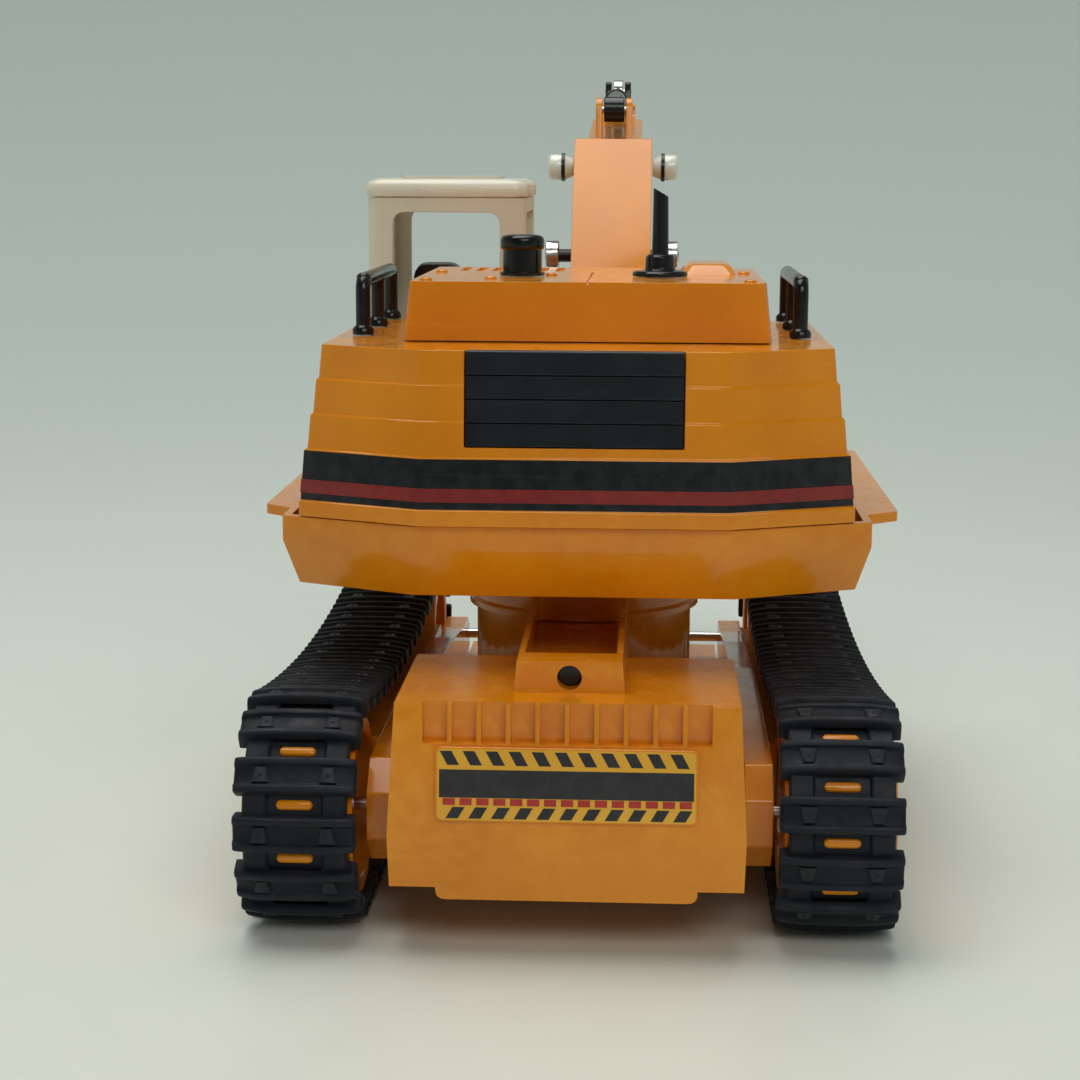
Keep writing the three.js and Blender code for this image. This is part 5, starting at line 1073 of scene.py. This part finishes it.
for side, s in (("left", 1), ("right", -1)):
    part(f"boom_barrel_{side}", "boom_barrels", moved(barrel_shape(BC_FOOT, BC_HEAD, 3, 0.62, 2), s * 18.4),
         BLACK,
         f"boom_cylinder_{side}")
    part(f"boom_piston_{side}", "boom_rods", moved(rod_shape(BC_FOOT, BC_HEAD, 3, 18, 2, 2, 1.2), s * 18.4),
         ROD,
         f"boom_rod_{side}")
part("arm_barrel_tube", "arm_barrel", barrel_shape(AC_FOOT, ARM_HORN, 3.4, 0.6, 3.2), BLACK, "arm_cylinder")
part("arm_piston", "arm_rod", rod_shape(AC_FOOT, ARM_HORN, 3.4, 24, 1.6, 1, 1.7), ROD, "arm_rod")
part("arm_cylinder_pin", "boom", pin_shape(5.6, AC_FOOT, 1.0), STEEL)

arm_outline = [(ARM_HORN[0] + 2.6, ARM_HORN[1] - 4), (ARM_HORN[0] - 5, ARM_HORN[1] - 4), (-212, 170),
               (-210, 150),
               (-205.5, 88), (-203.6, 80.4), (-200, 78.8), (-196.4, 80.4), (-194.5, 86), (-181.5, 170),
               (-181.5, 188),
               (-194, 192)]
arm_shape = prism(rounded(arm_outline, [1, 2, 4, 4, 1, 2, 2, 2, 1, 3, 3, 2], 3), "x", BOOM_X - 6,
                  BOOM_X + 6)
arm_slot = box(BOOM_X - 3.35, BOOM_X + 3.35, -222, -207.6, 118, 183.4)
arm_groove = box(BOOM_X - 2.3, BOOM_X + 2.3, -216, -203.4, 88, 120)
arm_recess = merged(*[prism(rounded([(-186.5, 166), (-204, 166), (-203, 120), (-196.4, 120)], 2), "x",
                            *span(s, 5.4, 9, BOOM_X)) for s in (-1, 1)])
part("arm_body", "arm", arm_shape, YELLOW, "arm", bevel=0.6, steps=3,
     work=[("cut", arm_slot), ("cut", arm_groove), ("cut",
                                                    box(BOOM_X - 2.3, BOOM_X + 2.3, -210, -188, 194.4,
                                                        210)),
           ("cut", arm_recess), ("cut", bores([TIP, ARM_END]))])
horn = prism(rounded([(-201.6, 193), (-191.5, 193), (-193.4, 200.5), (-194.6, 203.5), (-199.6, 203.5),
                      (-201.0, 200)],
                     [0, 0, 1.5, 1.5, 1.5, 1.5], 3), "x", BOOM_X - 4.4, BOOM_X + 4.4)
part("arm_horn_clevis", "arm", horn, BLACK, bevel=0.4,
     work=[("cut", box(BOOM_X - 2.3, BOOM_X + 2.3, -212, -186, 194.4, 210))])
part("arm_horn_pin", "arm", pin_shape(4.6, ARM_HORN, 1.0), STEEL)
part("bucket_foot_pin", "arm", pin_shape(6.2, BK_FOOT, 1.0), STEEL)
part("arm_end_pin", "arm", pin_shape(8.7, ARM_END), STEEL, "bucket_pin")
part("bucket_barrel_tube", "bucket_barrel", barrel_shape(BK_FOOT, BK_HORN, 3, 0.6, 2.9), BLACK,
     "bucket_cylinder")
part("bucket_piston", "bucket_rod", rod_shape(BK_FOOT, BK_HORN, 3, 26, 1.6, 1, 1.9), ROD, "bucket_rod")

centre = (ARM_END[0] + 2, ARM_END[1] - 30)
lip = (centre[0] + 23, centre[1] - 14)
scoop = prism([*arc(centre, 23, 95, 300, 28), lip, *reversed(arc(centre, 21, 95, 300, 28))], "x",
              BOOM_X - 18,
              BOOM_X + 18)
shapes = [scoop]
for x0 in (-18, 16):
    shapes.append(prism([*arc(centre, 22.4, 92, 300, 26), (lip[0] - 1, lip[1] + 0.8)], "x", BOOM_X + x0,
                        BOOM_X + x0 + 2))
for x0 in (-8.7, 6.3):
    shapes.append(prism(rounded([(centre[0] - 20, centre[1] + 8), (centre[0] + 1, centre[1] + 22),
                                 (ARM_END[0] + 4, ARM_END[1] + 2), (ARM_END[0], ARM_END[1] + 4.4),
                                 (BK_HORN[0] + 2, BK_HORN[1] + 4), (BK_HORN[0] - 4, BK_HORN[1] + 1)],
                                [0, 0, 2, 2, 2, 2]), "x", BOOM_X + x0, BOOM_X + x0 + 2.4))
for i in range(4):
    x = BOOM_X - 15.5 + i * 31 / 3
    shapes.append(prism([(lip[0] - 4, lip[1] - 2.6), (lip[0] + 7, lip[1] + 4.4),
                         (lip[0] - 3, lip[1] + 1.4)], "x",
                        x - 1.8, x + 1.8))
brow = (centre[0] - 0.8, centre[1] + 22.4)
for x0 in (-18.4, 15.9):
    shapes.append(prism([(lip[0] - 1, lip[1] + 0.8), brow, (brow[0] - 3, brow[1] - 0.6),
                         (lip[0] - 4.4, lip[1] - 0.2)],
                        "x", BOOM_X + x0, BOOM_X + x0 + 2.5))
for x0 in (-12, -4, 4, 12):
    shapes.append(prism([*arc(centre, 23.5, 150, 265, 14), *reversed(arc(centre, 22.6, 150, 265, 14))], "x",
                        BOOM_X + x0 - 0.9, BOOM_X + x0 + 0.9))
part("bucket_body", "bucket", merged(*shapes), SLATE, "bucket", bevel=0.25)
part("bucket_horn_pin", "bucket", pin_shape(8.6, BK_HORN, 1.0), STEEL)

# ---------------------------------------------------------------- small pieces kept as in the CAD
KEPT = {"battery_1": CELL, "battery_2": CELL, "battery_3": CELL, "belly_screw_front": STEEL,
        "belly_screw_rear": STEEL,
        "power_switch": BLACK, "axle_gear": NYLON, "motor": STEEL, "drive_pinion": NYLON,
        "slew_retainer": STEEL,
        "slew_screw": STEEL}
for name, material in KEPT.items():
    node = nodes[name]
    node.data.materials.clear()
    node.data.materials.append(material)
    node.data.shade_smooth()
    node.data.set_sharp_from_angle(angle=math.radians(32))

# ---------------------------------------------------------------- floor, light and camera


def stage_material():
    n = Nodes("backdrop")
    position = n.tree.nodes.new("ShaderNodeSeparateXYZ")
    n.link(n.geometry.outputs["Position"], position.inputs[0])
    depth = n.ramp(position.outputs[1], -0.9, 0.35)
    tint = n.mix(depth, (0.68, 0.76, 0.73), (0.82, 0.84, 0.77))
    tint = n.mix(n.ramp(position.outputs[1], 0.55, 1.1), tint, (0.22, 0.25, 0.24))
    cloud = n.ramp(n.noise(3, 3), 0.3, 0.7)
    n.link(n.mix(n.math("MULTIPLY", cloud, 0.12), tint, (0.66, 0.72, 0.70)), n.bsdf.inputs["Base Color"])
    n.link(n.ramp(n.noise(60, 4), 0.3, 0.7, 0.34, 0.42), n.bsdf.inputs["Roughness"])
    n.set(Specular_IOR_Level=0.5)
    return n.material


def backdrop():
    """A floor that curves up into a wall all round."""
    floor, bend, wall, segments = 620.0, 1150.0, 2100.0, 96
    profile = [(0.0, 0.0), (250.0, 0.0), (450.0, 0.0)]
    profile += [(floor + bend * math.sin(a), bend - bend * math.cos(a))
                for a in (math.pi / 32 * k for k in range(17))]
    profile.append((floor + bend, wall))
    verts, faces = lathe([(z, r) for r, z in profile], "z", segments=segments)
    faces = [f for f in faces if len(f) < 5]
    mesh = to_mesh((verts, faces))
    mesh.shade_smooth()
    obj = link("backdrop", mesh)
    obj.data.materials.append(stage_material())
    obj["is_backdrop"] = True


backdrop()


def light(name, place, target, size, power, colour):
    data = bpy.data.lights.new(name, "AREA")
    data.shape = "RECTANGLE"
    data.size, data.size_y = size
    data.energy = power
    data.color = colour
    obj = link(name, data)
    obj.location = Vector(place)
    obj.rotation_euler = (Vector(target) - Vector(place)).to_track_quat("-Z", "Y").to_euler()
    return obj


light("overhead", (0.15, -0.10, 1.30), (0, -0.02, 0.05), (1.2, 0.8), 12, (1.0, 0.99, 0.95))
light("camera_fill", (-0.35, 1.25, 1.0), (0, 0.1, 0.08), (0.9, 0.6), 6.0, (1.0, 0.97, 0.90))

world = bpy.data.worlds.new("studio")
bpy.context.scene.world = world
world.use_nodes = True
world.node_tree.nodes["Background"].inputs[0].default_value = (0.80, 0.92, 0.90, 1)
world.node_tree.nodes["Background"].inputs[1].default_value = 0.14


def camera():
    data = bpy.data.cameras.new("camera")
    data.sensor_width = 36
    data.lens = 73.333
    data.clip_start = 0.01
    data.clip_end = 20
    data.dof.use_dof = False
    pitch, yaw, roll = 0.16778, -0.04924, 0.004526
    ahead = Vector((-math.sin(yaw) * math.cos(pitch), -math.cos(yaw) * math.cos(pitch), -math.sin(pitch)))
    right = Vector((-math.cos(yaw), math.sin(yaw), 0))
    up = right.cross(ahead)
    right, up = (math.cos(roll) * right + math.sin(roll) * up, math.cos(roll) * up - math.sin(roll) * right)
    turn = Matrix((right, up, -ahead)).transposed().to_4x4()
    place = Vector((-16.98, 589.47 + SLEW_Y, 173.93)) * MM
    obj = link("camera", data)
    obj.matrix_world = Matrix.Translation(place) @ turn
    bpy.context.scene.camera = obj


camera()
bpy.context.scene.view_settings.view_transform = "Standard"

low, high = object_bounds()
